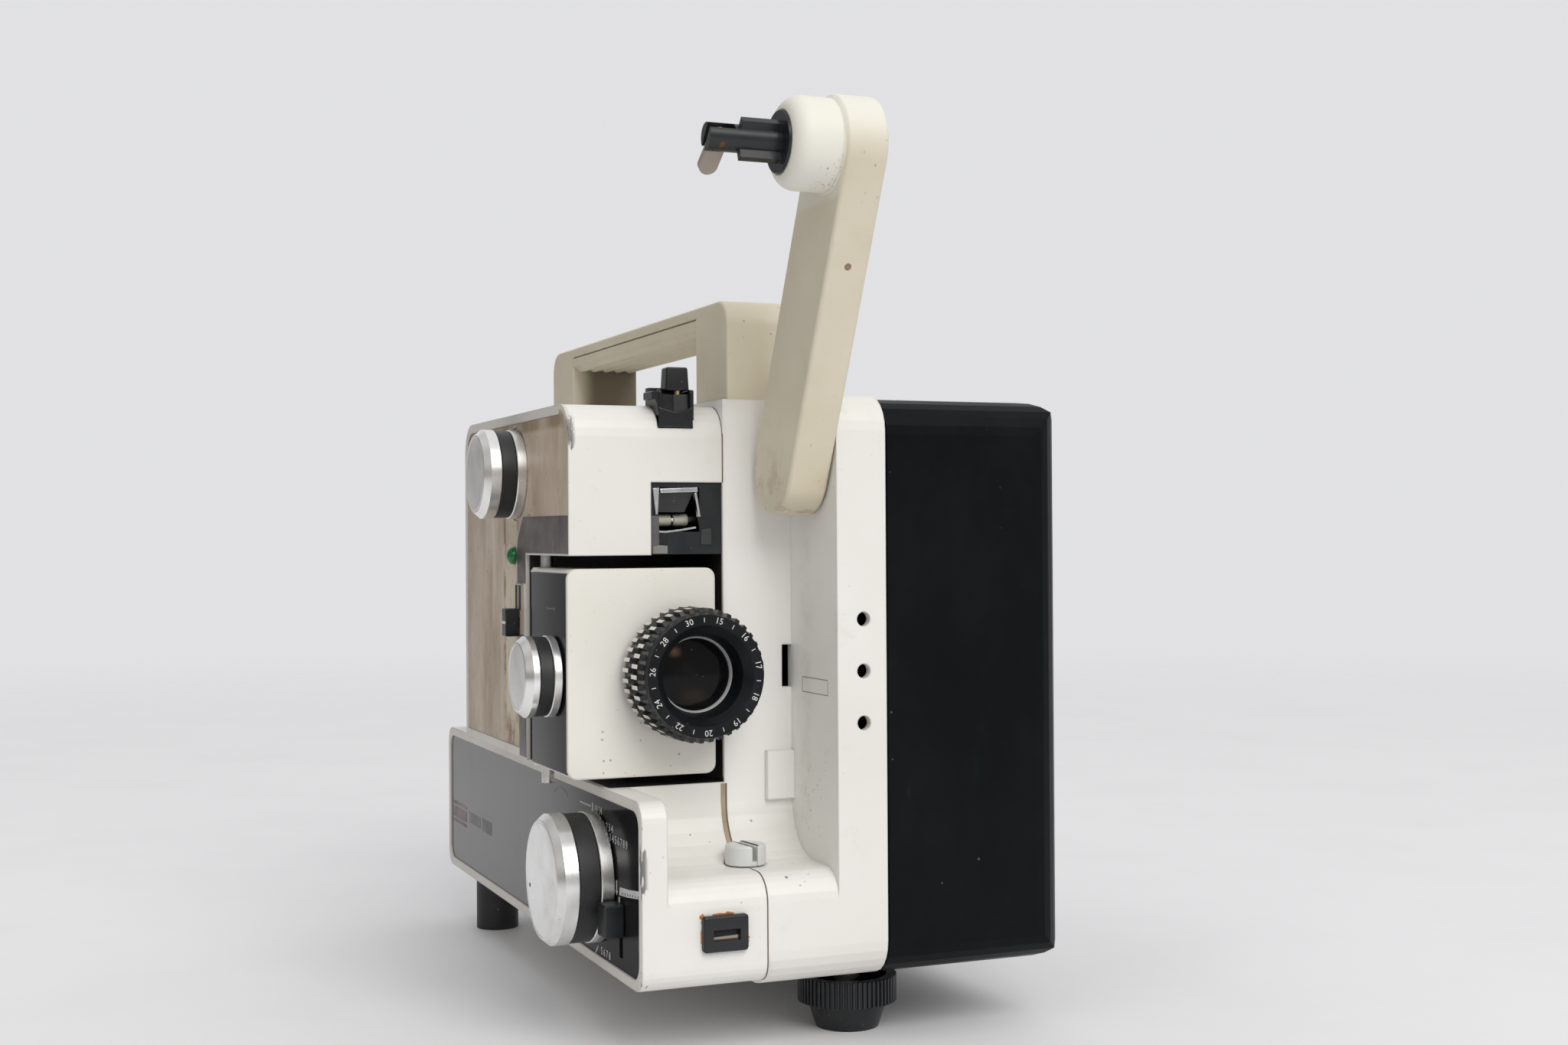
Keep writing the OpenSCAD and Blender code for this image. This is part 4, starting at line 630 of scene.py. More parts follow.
# Moves a counter-clockwise loop inward by a distance
def insetLoop(loop, distance):
    moved = []
    for i, point in enumerate(loop):
        before = Vector(point) - Vector(loop[i - 1])
        after = Vector(loop[(i + 1) % len(loop)]) - Vector(point)
        first = Vector((-before.y, before.x)).normalized()
        second = Vector((-after.y, after.x)).normalized()
        share = distance / max(1 + first.dot(second), 0.25)
        moved.append(tuple(Vector(point) + share * (first + second)))
    return moved


def alongX(u, v, w):
    return Vector((w, u, v))


def alongY(u, v, w):
    return Vector((u, w, v))


def alongZ(u, v, w):
    return Vector((u, v, w))


def joinRings(bm, rings, look):
    for lower, upper in zip(rings, rings[1:]):
        for i in range(len(lower)):
            j = (i + 1) % len(lower)
            bm.faces.new((lower[i], lower[j], upper[j], upper[i])).material_index = look


# The same with both ends closed
def closeRings(bm, rings, look=0):
    joinRings(bm, rings, look)
    for ring in (rings[0], rings[-1]):
        bm.faces.new(ring).material_index = look


# A prism between two depths, its rims rounded by the radii given
def prism(bm, loop, low, high, place, roundLow=0.0, roundHigh=0.0, look=0, steps=4):
    loop = tidyLoop(loop)
    turns = [math.radians(90 * k / steps) for k in range(steps + 1)]
    levels = [(0, low)]
    if roundLow > 0:
        levels = [(roundLow * (1 - math.sin(a)), low + roundLow * (1 - math.cos(a))) for a in turns]
    if roundHigh > 0:
        levels += [(roundHigh * (1 - math.cos(a)), high - roundHigh * (1 - math.sin(a))) for a in turns]
    else:
        levels.append((0, high))
    rings = []
    for inset, depth in levels:
        points = insetLoop(loop, inset) if inset > 0 else loop
        rings.append([bm.verts.new(place(u, v, depth)) for u, v in points])
    closeRings(bm, rings, look)


# A band of given width along a path, as a thin prism
def stroke(bm, path, width, low, high, place, look=0):
    left, right = [], []
    for i, point in enumerate(path):
        ahead = Vector(path[min(i + 1, len(path) - 1)]) - Vector(path[max(i - 1, 0)])
        side = Vector((-ahead.y, ahead.x)).normalized() * width / 2
        left.append(tuple(Vector(point) + side))
        right.append(tuple(Vector(point) - side))
    prism(bm, left + right[::-1], low, high, place, look=look)


# A body of revolution: the profile holds pairs of radius and height along the axis
def turned(bm, centre, axis, profile, segments=64, look=0):
    across = axis.orthogonal().normalized()
    other = axis.cross(across)
    rings = []
    for r, height in profile:
        heart = Vector(centre) + axis * height
        if r < 0.001:
            rings.append([bm.verts.new(heart)])
            continue
        turns = [2 * math.pi * i / segments for i in range(segments)]
        rings.append([bm.verts.new(heart + r * (math.cos(a) * across + math.sin(a) * other)) for a in turns])
    for lower, upper in zip(rings, rings[1:]):
        for i in range(segments):
            j = (i + 1) % segments
            corners = [lower[i % len(lower)], lower[j % len(lower)]]
            corners += [upper[j % len(upper)], upper[i % len(upper)]]
            bm.faces.new(list(dict.fromkeys(corners))).material_index = look


def rod(bm, centre, axis, r, length, segments, look=0):
    turned(bm, centre, axis, [(0, 0), (r, 0), (r, length), (0, length)], segments, look)


# A ring with a closed profile
def hoop(bm, centre, axis, profile, segments=64, look=0):
    turned(bm, centre, axis, profile + profile[:1], segments, look)
    bmesh.ops.remove_doubles(bm, verts=bm.verts, dist=0.0005)


# Lettering for plain numbers, flat on a face whose right and up directions are given
def lettering(bm, text, size, centre, right, up, thick=0.06):
    curve = bpy.data.curves.new("numbers", "FONT")
    curve.body = text
    curve.size = size
    curve.extrude = thick / 2
    curve.resolution_u = 2
    curve.align_x = "CENTER"
    curve.align_y = "CENTER"
    holder = bpy.data.objects.new("numbers", curve)
    scene.collection.objects.link(holder)
    mesh = bpy.data.meshes.new_from_object(holder.evaluated_get(bpy.context.evaluated_depsgraph_get()))
    bpy.data.objects.remove(holder)
    bpy.data.curves.remove(curve)
    out = right.cross(up)
    turn = Matrix((right, up, out)).transposed().to_4x4()
    mesh.transform(Matrix.Translation(centre) @ turn)
    bm.from_mesh(mesh)
    bpy.data.meshes.remove(mesh)


def finishPiece(name, bm, looks, body, replaced=(), smooth=38):
    bmesh.ops.recalc_face_normals(bm, faces=bm.faces)
    bm.transform(toRow)
    mesh = bpy.data.meshes.new(name)
    bm.to_mesh(mesh)
    bm.free()
    for look in looks:
        mesh.materials.append(finishes[look])
    mesh.shade_smooth()
    mesh.set_sharp_from_angle(angle=math.radians(smooth))
    piece = bpy.data.objects.new(name, mesh)
    scene.collection.objects.link(piece)
    even = piece.modifiers.new("evenNormals", "WEIGHTED_NORMAL")
    even.keep_sharp = True
    even.weight = 100
    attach(piece, body)
    if replaced:
        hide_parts(*replaced)


# Handle: a moulded bridge with a ribbed insert under the grip
def makeHandle():
    k = handleLook
    low, high = span("carry_handle")
    roof = high.z - k["roof"]
    front, rear = low.y + k["leg"], high.y - k["leg"]
    bm = bmesh.new()
    loop = arc(high.y - k["corner"], high.z - k["corner"], k["corner"], 0, 90)
    loop += arc(low.y + k["corner"], high.z - k["corner"], k["corner"], 90, 180)
    loop += [(low.y, low.z), (front, low.z), (front, roof), (rear, roof), (rear, low.z), (high.y, low.z)]
    prism(bm, loop, low.x, high.x, alongX, k["rim"], k["rim"])
    left, right, foot = low.x + k["gap"], high.x - k["gap"], high.z - k["grip"]
    steps = k["ribSteps"] * k["ribs"]
    margin, wall = k["ribMargin"], k["wall"]
    under = []
    for i in range(steps + 1):
        rise = k["ribDepth"] * (1 - abs(math.sin(math.pi * k["ribs"] * i / steps)))
        under.append((left + margin + (right - left - 2 * margin) * i / steps, foot + rise))
    valley = foot + k["ribDepth"] + k["skirt"]
    eaves, inside = roof - k["wallDrop"], roof + k["inlay"]
    section = [(left, valley)] + under + [(right, valley)]
    section += [(right, eaves), (right - wall, eaves), (right - wall, inside)]
    section += [(left + wall, inside), (left + wall, eaves), (left, eaves)]
    prism(bm, section, front - k["lap"], rear + k["lap"], alongY)
    finishPiece("carryHandle", bm, ["cream"], "body", ["carry_handle"])


# Reel arms: a flat arm with rounded rims, and a hub with a well rounded front
def makeArm(name, node, pivotNode, tipAtTop):
    k = armLook
    low, high = span(node)
    pivot = middle(pivotNode)
    half = k["wide"] / 2
    tip = Vector((0, low.y + half, high.z - half)) if tipAtTop else Vector((0, pivot.y, low.z + half))
    lean = math.degrees(math.atan2(tip.z - pivot.z, tip.y - pivot.y))
    slab = high.x - k["thick"]
    bm = bmesh.new()
    loop = arc(tip.y, tip.z, half, lean - 90, lean + 90, 28)
    loop += arc(pivot.y, pivot.z, half, lean + 90, lean + 270, 28)
    prism(bm, loop, slab, high.x, alongX, k["rim"], k["rim"])
    reach = slab - low.x + k["seat"]
    r, soft = k["hubRadius"], k["hubRound"]
    seat, flange, mouth, floor = k["seat"], k["flange"], k["mouth"], reach - k["mouthDeep"]
    profile = [(0, 0), (r + flange, 0), (r + flange, seat + 0.05), (r, seat + flange)]
    profile += arc(r - soft, reach - soft, soft, 0, 90, 10)
    profile += [(mouth + 0.1, reach - 0.02), (mouth, reach - 0.12), (mouth, floor), (0, floor)]
    turned(bm, (slab + k["seat"], tip.y, tip.z), leftward, profile, 72)
    finishPiece(name, bm, ["cream"], node, [node])
    # A small plug in the arm's leading edge
    down = (pivot - tip).normalized()
    down.x = 0
    down.normalize()
    out = Vector((0, down.z, -down.y))
    heart = tip + down * k["plugDown"] + out * (half - k["plugSink"])
    heart.x = slab + k["thick"] / 2
    r, top = k["plugRadius"], k["plugSink"] + k["plugRise"]
    bm = bmesh.new()
    profile = [(0, 0), (r, 0), (r, top - 0.1), (r - 0.2, top), (r * 0.5, top), (0, top - 0.15)]
    turned(bm, heart, out, profile, 24)
    finishPiece(name + "Plug", bm, ["plug"], node)


# The pin that the latch hinges on shows as a dull rivet at each side of the spindle's tip
rivetLook = {"radius": 0.95, "inset": 3.8, "turn": 42, "rod": 3.9, "sink": 0.35, "rise": 0.05}


def makeRivet(name, node):
    k = rivetLook
    tip = span(node)[0].x
    centre = middle(node)
    turn = math.radians(k["turn"])
    r, reach = k["radius"], k["sink"] + k["rise"]
    bm = bmesh.new()
    for side in (-1, 1):
        out = Vector((0, side * math.cos(turn), side * math.sin(turn)))
        heart = Vector((tip + k["inset"], centre.y, centre.z)) + out * (k["rod"] - k["sink"])
        turned(bm, heart, out, [(0, 0), (r, 0), (r, reach - 0.1), (r - 0.2, reach), (0, reach)], 20)
    finishPiece(name, bm, ["rust"], node)


# Knobs: turned alloy with a grooved band of rubber
knobLooks = {
    "mode_knob": {"radius": 19.6, "base": 4.0, "band": 6.5, "dot": 0.7},
    "focus_knob": {"radius": 12.3, "base": 2.6, "band": 4.2, "dot": 0},
    "inching_knob": {"radius": 14.4, "base": 3.4, "band": 5.0, "dot": 0},
}
knobShared = {"bevel": 1.9, "bandThick": 1.8, "bandDrop": 0.3, "bandSoft": 0.3, "bandEdge": 0.35, "lap": 0.05,
              "soft": 0.25, "faceSoft": 0.2, "line": 0.5, "shaft": 3.0,
              "groove": [(0, 0), (0.12, 0.14), (0.3, 0.14), (0.42, 0)],
              "dotPlace": (0, 12.8, -3.5), "dotSink": 0.02, "dotThick": 0.05}


def makeKnob(node):
    k, s = knobLooks[node], knobShared
    low, high = span(node)
    centre = middle(node)
    r, soft = k["radius"], s["soft"]
    lap, core = s["lap"], r - s["bandThick"]
    start = span(node + "_band")[1].x + k["base"] + lap
    length = start - low.x
    base, top = k["base"], k["base"] + k["band"]
    heart = Vector((start, centre.y, centre.z))
    profile = [(0, start - high.x), (s["shaft"], start - high.x), (s["shaft"], 0)]
    profile += [(r - soft, 0), (r, soft), (r, base - soft), (r - soft, base), (core, base)]
    profile += [(core, top), (r - soft, top), (r, top + soft)]
    # A bevel, a thin groove near the rim and the flat face
    face, rim = r - s["bevel"], length - s["bevel"]
    profile += [(r, rim - s["faceSoft"]), (r - s["faceSoft"], rim), (face + 0.15, length - 0.1)]
    profile += [(face, length)]
    profile += [(face - s["line"] - x, length - deep) for x, deep in s["groove"]]
    profile += [(face * 0.5, length), (0, length)]
    bm = bmesh.new()
    turned(bm, heart, leftward, profile, 96)
    if k["dot"]:
        spot = heart + leftward * (length - s["dotSink"]) + Vector(s["dotPlace"])
        rod(bm, spot, leftward, k["dot"], s["dotThick"], 20, 1)
    piece = node.replace("_k", "K")
    finishPiece(piece, bm, ["alloy", "dark"], node, [node])
    bm = bmesh.new()
    inner, outer = core + lap, r - s["bandDrop"]
    rim, edge = outer - s["bandSoft"], s["bandEdge"]
    profile = [(inner, base + lap), (rim, base + lap), (outer, base + edge)]
    profile += [(outer, top - edge), (rim, top - lap), (inner, top - lap)]
    hoop(bm, heart, leftward, profile, 96)
    finishPiece(piece + "Band", bm, ["rubber"], node, [node + "_band"])


# Zoom ring: a black core with two staggered rows of bare-topped studs
zoomLook = {"core": 18.4, "radius": 20.0, "bore": 15.05, "studs": 40, "rows": 2, "rim": 1.4, "gap": 0.25,
            "footShare": 0.33, "topShare": 0.2, "slant": 1.25, "soft": 0.4, "frontSoft": 0.8,
            "frontDrop": 0.5, "studSink": 0.3}


def makeZoomRing():
    k = zoomLook
    low, high = span("zoom_ring")
    axisX, axisZ = (low.x + high.x) / 2, (low.z + high.z) / 2
    bm = bmesh.new()
    length = high.y - low.y
    r, soft = k["core"], k["soft"]
    core = [(k["bore"], 0), (r - soft, 0), (r, soft), (r, length - k["frontSoft"]),
            (r - k["frontDrop"], length), (k["bore"], length)]
    hoop(bm, (axisX, high.y, axisZ), forward, core, 96)
    row = (length - 2 * k["rim"]) / k["rows"]
    pitch = 2 * math.pi / k["studs"]
    foot = r - k["studSink"]
    for i in range(k["rows"]):
        near = low.y + k["rim"] + i * row + k["gap"]
        far = near + row - 2 * k["gap"]
        for j in range(k["studs"]):
            turn = (j + 0.5 * i) * pitch
            corners = []
            for radius, share, ends in ((foot, k["footShare"], (near, far)),
                                        (k["radius"], k["topShare"], (near + k["slant"], far - k["slant"]))):
                for side, y in ((-1, ends[0]), (1, ends[0]), (1, ends[1]), (-1, ends[1])):
                    a = turn + side * share * pitch
                    corner = (axisX + radius * math.sin(a), y, axisZ + radius * math.cos(a))
                    corners.append(bm.verts.new(corner))
            bm.faces.new(corners[:4])
            bm.faces.new(corners[4:]).material_index = 1
            for n in range(4):
                bm.faces.new((corners[n], corners[(n + 1) % 4], corners[4 + (n + 1) % 4], corners[4 + n]))
    finishPiece("zoomRing", bm, ["black", "knurl"], "zoom_ring", ["zoom_ring"], 30)


# Front of the lens: plain numbers and ticks round the ring, and the pale collar that holds the glass
lensMarks = {"numbers": [15, 16, 17, 18, 19, 20, 22, 24, 26, 28, 30], "size": 2.6, "radius": 16.55,
             "firstTurn": 0.25, "lift": 0.01, "tick": 0.24, "tickIn": 15.9, "tickOut": 17.2, "tickLift": 0.04,
             "tickSink": 0.02, "collarIn": 10.75, "collarOut": 11.4, "collarDepth": 1.3, "collarGap": 0.35}


def makeLensMarks():
    k = lensMarks
    low, high = span("lens_front_ring")
    axisX, axisZ = (low.x + high.x) / 2, (low.z + high.z) / 2
    bm = bmesh.new()
    count = len(k["numbers"])
    for i, number in enumerate(k["numbers"]):
        for step, text in ((0, str(number)), (0.5, None)):
            a = 2 * math.pi * (i + step) / count + k["firstTurn"]
            up = Vector((math.sin(a), 0, math.cos(a)))
            right = Vector((math.cos(a), 0, -math.sin(a)))
            heart = Vector((axisX, low.y - k["lift"], axisZ))
            if text:
                lettering(bm, text, k["size"], heart + up * k["radius"], right, up)
            else:
                ends = [heart + up * k["tickIn"], heart + up * k["tickOut"]]
                stroke(bm, [(p.x, p.z) for p in ends], k["tick"], low.y - k["tickLift"],
                       low.y + k["tickSink"], alongY)
    finishPiece("lensNumbers", bm, ["print"], "zoom_ring")
    bm = bmesh.new()
    inner, outer, deep = k["collarIn"], k["collarOut"], k["collarDepth"]
    hoop(bm, (axisX, high.y + k["collarGap"] + deep, axisZ), forward,
         [(inner, 0), (outer, 0), (outer, deep), (outer - 0.12, deep + 0.1), (inner + 0.25, deep - 0.2)], 96)
    finishPiece("glassCollar", bm, ["collar"], "lens_barrel")


# Film inlet: a glossy mouth with a notched lip, a funnel, two cheeks and a hook over the housing's edge
inletLook = {"lipDip": 1.0, "lipThick": 1.0, "lipTop": 5.8, "lipHorn": 0.4, "lipRound": 0.55, "cheek": 0.95,
             "cheekDeep": 2.85, "wallDeep": 4.0, "wallRise": 1.6, "wallFoot": 1, "hook": 2.1,
             "hookFront": 1.4, "hookDeep": 7.5,
             "hookEdge": [(0, -2.3), (0.9, -2.5), (1.5, -3.6), (1.9, -5.6)],
             "rim": 0.28, "seatDrop": 4.8, "funnelGap": 0.7, "funnelInset": 0.3, "sillDrop": 2.2,
             "sillFlat": 2, "browDrop": 0.7, "lean": 0.85, "ridge": 0.7, "lap": 0.05}


def makeInlet():
    k = inletLook
    low, high = span("film_inlet")
    left, right = low.x + k["hook"], high.x - k["hook"]
    front, foot, top = low.y, low.z, high.z
    lipTop = foot + k["lipTop"]
    mid = (left + right) / 2
    rim = k["rim"]
    bm = bmesh.new()
    horn = lipTop + k["lipHorn"]
    lip = [(left, foot), (right, foot), (right, horn), (mid, lipTop - k["lipDip"]), (left, horn)]
    prism(bm, lip, front, front + k["lipThick"], alongY, k["lipRound"], 0)
    # Funnel: two slopes that meet at the middle
    edge, back = front + k["lipThick"] + k["funnelGap"], front + k["cheekDeep"] + k["lap"]
    sill, brow = lipTop - k["sillDrop"], top - k["browDrop"]
    for x in (left + k["funnelInset"], right - k["funnelInset"]):
        face = [(x, edge, sill), (mid, edge + k["ridge"], sill),
                (mid, edge + k["lean"] + k["ridge"] * 0.3, brow - 0.2), (x, edge + k["lean"], brow)]
        near = [bm.verts.new(point) for point in face]
        rear = [bm.verts.new((point[0], back, point[2])) for point in face]
        closeRings(bm, [near, rear])
    # Floor of the cavity, sill behind the lip, and back wall
    whole = high.y - front
    for deep0, deep1, z0, z1, soft in ((k["cheekDeep"], whole, foot, top - k["seatDrop"], 0),
                                       (k["lipThick"], k["cheekDeep"], foot, lipTop - k["sillFlat"], 0),
                                       (whole - k["wallDeep"], whole - k["lap"], foot + k["wallFoot"],
                                        top + k["wallRise"], rim)):
        prism(bm, oblong(left, z0, right, z1), front + deep0, front + deep1, alongY, soft, soft)
    # Cheeks with rounded tops
    for x0 in (left, right - k["cheek"]):
        outline = [(front + 0.15, foot), (front + k["cheekDeep"], foot)]
        outline += arc(front + k["cheekDeep"] - 1, top - 0.4, 1, 0, 90, 5)
        outline += arc(front + 1.35, top - 0.6, 1.2, 90, 180, 5)
        prism(bm, outline, x0, x0 + k["cheek"], alongX, rim, rim)
    side = oblong(front + 2, foot + 2, high.y - 0.2, top + 0.5)
    prism(bm, side, right + 0.02, right + k["cheek"], alongX, 0.1, rim)
    # Hook on the left, over the housing's rounded edge
    hook = [(left + 0.2, foot + 2), (left + 0.2, top)] + arc(low.x + 0.4, top - 0.4, 0.4, 90, 180, 4)
    hook += [(low.x + x, top + z) for x, z in k["hookEdge"]]
    prism(bm, hook, front + 0.4, front + k["hookFront"] + k["hookDeep"], alongY, 0.2, 0.2)
    finishPiece("filmInlet", bm, ["black"], "body", ["film_inlet"], 32)


# Threading button: a tapered block on a brass pin
buttonLook = {"tall": 7.2, "taper": 0.35, "soft": 0.7, "footSoft": 0.3, "topSoft": 0.6, "pinRadius": 1.0,
              "pinShift": 0.3, "pinFront": 1.4, "pinDrop": 2.0, "pinTip": 0.2, "pinLap": 0.3}


def makeInletButton():
    k = buttonLook
    low, high = span("inlet_button")
    block = high.z - k["tall"]
    midX, midY = (low.x + high.x) / 2, (low.y + high.y) / 2
    bm = bmesh.new()
    outline = roundBox(low.x, low.y, high.x, high.y, k["soft"])
    prism(bm, outline, block, high.z, alongZ, k["footSoft"], k["topSoft"])
    for vert in bm.verts:
        share = k["taper"] * (vert.co.z - block) / (high.z - block)
        vert.co.x += share if vert.co.x < midX else -share
        vert.co.y += share if vert.co.y < midY else -share
    heart = (midX + k["pinShift"], low.y + k["pinFront"], block - k["pinDrop"])
    r, reach = k["pinRadius"], k["pinDrop"] + k["pinLap"]
    turned(bm, heart, upward, [(0, 0), (r, k["pinTip"]), (r, reach), (0, reach)], 24, 1)
    finishPiece("inletButton", bm, ["black", "brass"], "inlet_button", ["inlet_button"])


# Loop window: a splayed bright guide, its lower lip, a post and a worn clip
loopLook = {"leftBar": [(15.7, 165.6), (16.6, 157.6), (17.4, 157.7), (17.9, 165.9)],
            "topBar": [(18.2, 164.1), (30.2, 164.5), (30.1, 166.0), (18.1, 165.5)],
            "rightBar": [(29.0, 164.2), (30.4, 156.9), (31.1, 157.0), (29.9, 164.4)],
            "lip": [(17.8, 152.5), (20.0, 152.4), (24.5, 152.9), (29.6, 153.7)], "lipWide": 0.55,
            "post": [(15.3, 145.9), (17.7, 145.9), (17.7, 157.3), (15.3, 157.3)],
            "clip": [(15.6, 145.8), (20.3, 145.8), (20.3, 148.2), (17.7, 148.4), (15.6, 148.0)],
            "pocket": [(18.2, 148.6), (20.5, 148.6), (20.5, 151.7), (18.2, 151.7)],
            "facet": [(31.0, 148.4), (34.8, 148.4), (34.6, 153.6), (31.4, 153.0)],
            "plateTop": (18.2, 29.5, 2.1, 164.6), "plateFoot": (18.0, 27.4, 4.7, 158.4), "plateThick": 0.5,
            "lipSink": 0.35, "sink": 0.1, "postLift": 0.5, "facetLift": 0.35, "clipLift": 0.85,
            "pocketLift": 0.04, "pocketSink": 0.05}


def makeLoopWindow():
    k = loopLook
    low, high = span("loop_guide")
    bm = bmesh.new()
    for bar in ("leftBar", "topBar", "rightBar"):
        prism(bm, k[bar], low.y, high.y, alongY, 0.25, 0.1)
    stroke(bm, k["lip"], k["lipWide"], low.y + k["lipSink"], high.y, alongY)
    finishPiece("loopGuide", bm, ["chrome"], "body", ["loop_guide"])
    face = span("loop_chamber")[0].y
    inside = face + k["sink"]
    bm = bmesh.new()
    prism(bm, k["post"], face - k["postLift"], inside, alongY, 0.15, look=1)
    prism(bm, k["facet"], face - k["facetLift"], inside, alongY, 0.3)
    finishPiece("loopPost", bm, ["charcoal", "fadedPrint"], "body")
    # Sloping plate at the back of the mouth, above the roller
    near = []
    for x0, x1, deep, z in (k["plateTop"], k["plateFoot"]):
        near += [(x0, low.y + deep, z), (x1, low.y + deep, z)]
    bm = bmesh.new()
    front = [bm.verts.new(near[i]) for i in (0, 1, 3, 2)]
    back = [bm.verts.new(Vector(near[i]) + Vector((0, k["plateThick"], 0))) for i in (0, 1, 3, 2)]
    closeRings(bm, [front, back])
    finishPiece("loopBackPlate", bm, ["charcoal"], "body")
    bm = bmesh.new()
    prism(bm, k["clip"], face - k["clipLift"], inside, alongY, 0.2)
    finishPiece("loopClip", bm, ["etch"], "body")
    # A dark sheet of painted shade in the pocket above the clip
    bm = bmesh.new()
    prism(bm, k["pocket"], face - k["pocketLift"], face + k["pocketSink"], alongY)
    finishPiece("loopPocketShade", bm, ["dark"], "body")


# Guide roller: two cream barrels on one spindle
rollerLook = {"radius": 1.9, "start": 0.6, "groove": 7.6, "end": 12.7, "neck": 0.9, "half": 0.35, "soft": 0.2,
              "pinWall": 0.1, "pinRun": 0.3}


def makeRoller():
    k = rollerLook
    low, high = span("guide_roller")
    centre = middle("guide_roller")
    r, soft, neck = k["radius"], k["soft"], k["neck"]
    heart = (low.x, centre.y, centre.z)
    bm = bmesh.new()
    for start, end in ((k["start"], k["groove"] - k["half"]), (k["groove"] + k["half"], k["end"])):
        barrel = [(neck, start), (r - soft, start), (r, start + soft)]
        barrel += [(r, end - soft), (r - soft, end), (neck, end)]
        hoop(bm, heart, -leftward, barrel, 40)
    inner, outer = neck - k["pinWall"], neck + k["pinWall"]
    start, end = k["start"] - k["pinRun"], high.x - low.x
    hoop(bm, heart, -leftward, oblong(inner, start, outer, end), 24, 1)
    finishPiece("guideRoller", bm, ["white", "dark"], "guide_roller", ["guide_roller"])


# Film trimmer: a glossy bezel with a sloped slot, a worn blade in it and old glue round its edges
trimmerLook = {"soft": 1.1, "rim": 0.7, "slotLeft": 3.0, "slotRight": 2.6, "slotFoot": 3.2, "slotTop": 4.0,
               "rimSteps": 4, "slope": 0.7, "slopeDeep": 1.2, "sink": 0.05, "blade": 1.25,
               "bladeDepths": (-0.6, -0.05), "shadeDepths": (-0.25, -0.06), "glueThick": 0.32,
               "glue": [((0.2, 10.2), 0.75, 0.75), ((0.2, 8.8), 0.35, 1.1), ((5.6, 10.5), 2.6, 0.42),
                        ((8.2, 10.55), 1.4, 0.55), ((13.9, 2.4), 0.5, 1.0), ((14.2, 3.3), 0.5, 0.3),
                        ((-0.05, 4.5), 0.25, 2.4)]}


def makeTrimmer():
    k = trimmerLook
    low, high = span("film_trimmer")
    bm = bmesh.new()
    outer = roundBox(low.x, low.z, high.x, high.z, k["soft"], 5)
    x0, x1 = low.x + k["slotLeft"], high.x - k["slotRight"]
    z0, z1 = low.z + k["slotFoot"], high.z - k["slotTop"]
    rings = []
    turns = [math.radians(90 * i / k["rimSteps"]) for i in range(k["rimSteps"] + 1)]
    levels = [(0, k["sink"])]
    levels += [(k["rim"] * (1 - math.cos(a)), low.y + k["rim"] * (1 - math.sin(a))) for a in turns]
    for inset, depth in levels:
        rings.append([bm.verts.new((x, depth, z)) for x, z in insetLoop(tidyLoop(outer), inset + 0.0001)])
    # A quarter of each outer ring's points runs to each corner of the slot
    count = len(rings[0])
    quarter = count // 4
    slope = -k["slope"] * 0.5
    for grow, depth in ((0, low.y), (slope, low.y + k["slopeDeep"]), (slope, k["sink"])):
        box = [(x1 + grow, z1 + grow), (x0 - grow, z1 + grow), (x0 - grow, z0 - grow), (x1 + grow, z0 - grow)]
        ring = [box[min(i // quarter, 3)] for i in range(count)]
        rings.append([bm.verts.new((x, depth, z)) for x, z in ring])
    joinRings(bm, rings, 0)
    bmesh.ops.remove_doubles(bm, verts=bm.verts, dist=0.0005)
    finishPiece("filmTrimmer", bm, ["black"], "body", ["film_trimmer"])
    bm = bmesh.new()
    blade = [(x0, z0), (x1, z0), (x1, z0 + k["blade"]), (x0, z0 + k["blade"] - 0.3)]
    prism(bm, blade, *k["bladeDepths"], alongY)
    finishPiece("trimmerBlade", bm, ["latch"], "body")
    # A dark sheet of painted shade deep in the slot, above the blade
    bm = bmesh.new()
    shade = [(x0, z0 + k["blade"] - 0.4), (x1, z0 + k["blade"] - 0.1), (x1, z1), (x0, z1)]
    prism(bm, shade, *k["shadeDepths"], alongY)
    finishPiece("trimmerSlotShade", bm, ["dark"], "body")
    bm = bmesh.new()
    for n, (place, wide, tall) in enumerate(k["glue"]):
        made = bmesh.ops.create_icosphere(bm, subdivisions=3, radius=1.0)["verts"]
        for vert in made:
            lump = 1 + 0.16 * math.sin(5.1 * vert.co.x + n) + 0.13 * math.sin(7.3 * vert.co.z + 2.0 * n)
            vert.co = Vector((low.x + place[0] + wide * lump * vert.co.x,
                              -k["sink"] + k["glueThick"] * vert.co.y * lump,
                              low.z + place[1] + tall * lump * vert.co.z))
    finishPiece("trimmerGlue", bm, ["glue"], "body", smooth=80)


# Sliding controls with softened edges
controlLook = {"leverSoft": 0.5, "sliderSoft": 0.4, "backSoft": 0.1, "gap": 0.4, "tang": 2.4, "tangInset": 3,
               "tangSoft": 0.2, "tangLap": 0.6, "sliderLine": 0.9, "lineInset": 0.3, "lineLift": 0.01,
               "lineSink": 0.1, "frameFoot": 127.5, "frameTop": 135.6, "frameFront": 90.6, "frameRear": 98.4,
               "frameEdge": 0.5, "edgeOut": 0.2, "edgeLift": 0.2, "trackLift": 0.06, "sink": 0.05}


# A block in front of a face, and the tang that carries it through the slot
def slideBlock(bm, node, face, soft):
    k = controlLook
    low, high = span(node)
    mid, half = (low.y + high.y) / 2, k["tang"] / 2
    outline = roundBox(low.y, low.z, high.y, high.z, soft)
    prism(bm, outline, low.x, face - k["gap"], alongX, soft, k["backSoft"])
    tang = roundBox(mid - half, low.z + k["tangInset"], mid + half, high.z - k["tangInset"], k["tangSoft"])
    prism(bm, tang, face - k["tangLap"], high.x, alongX)


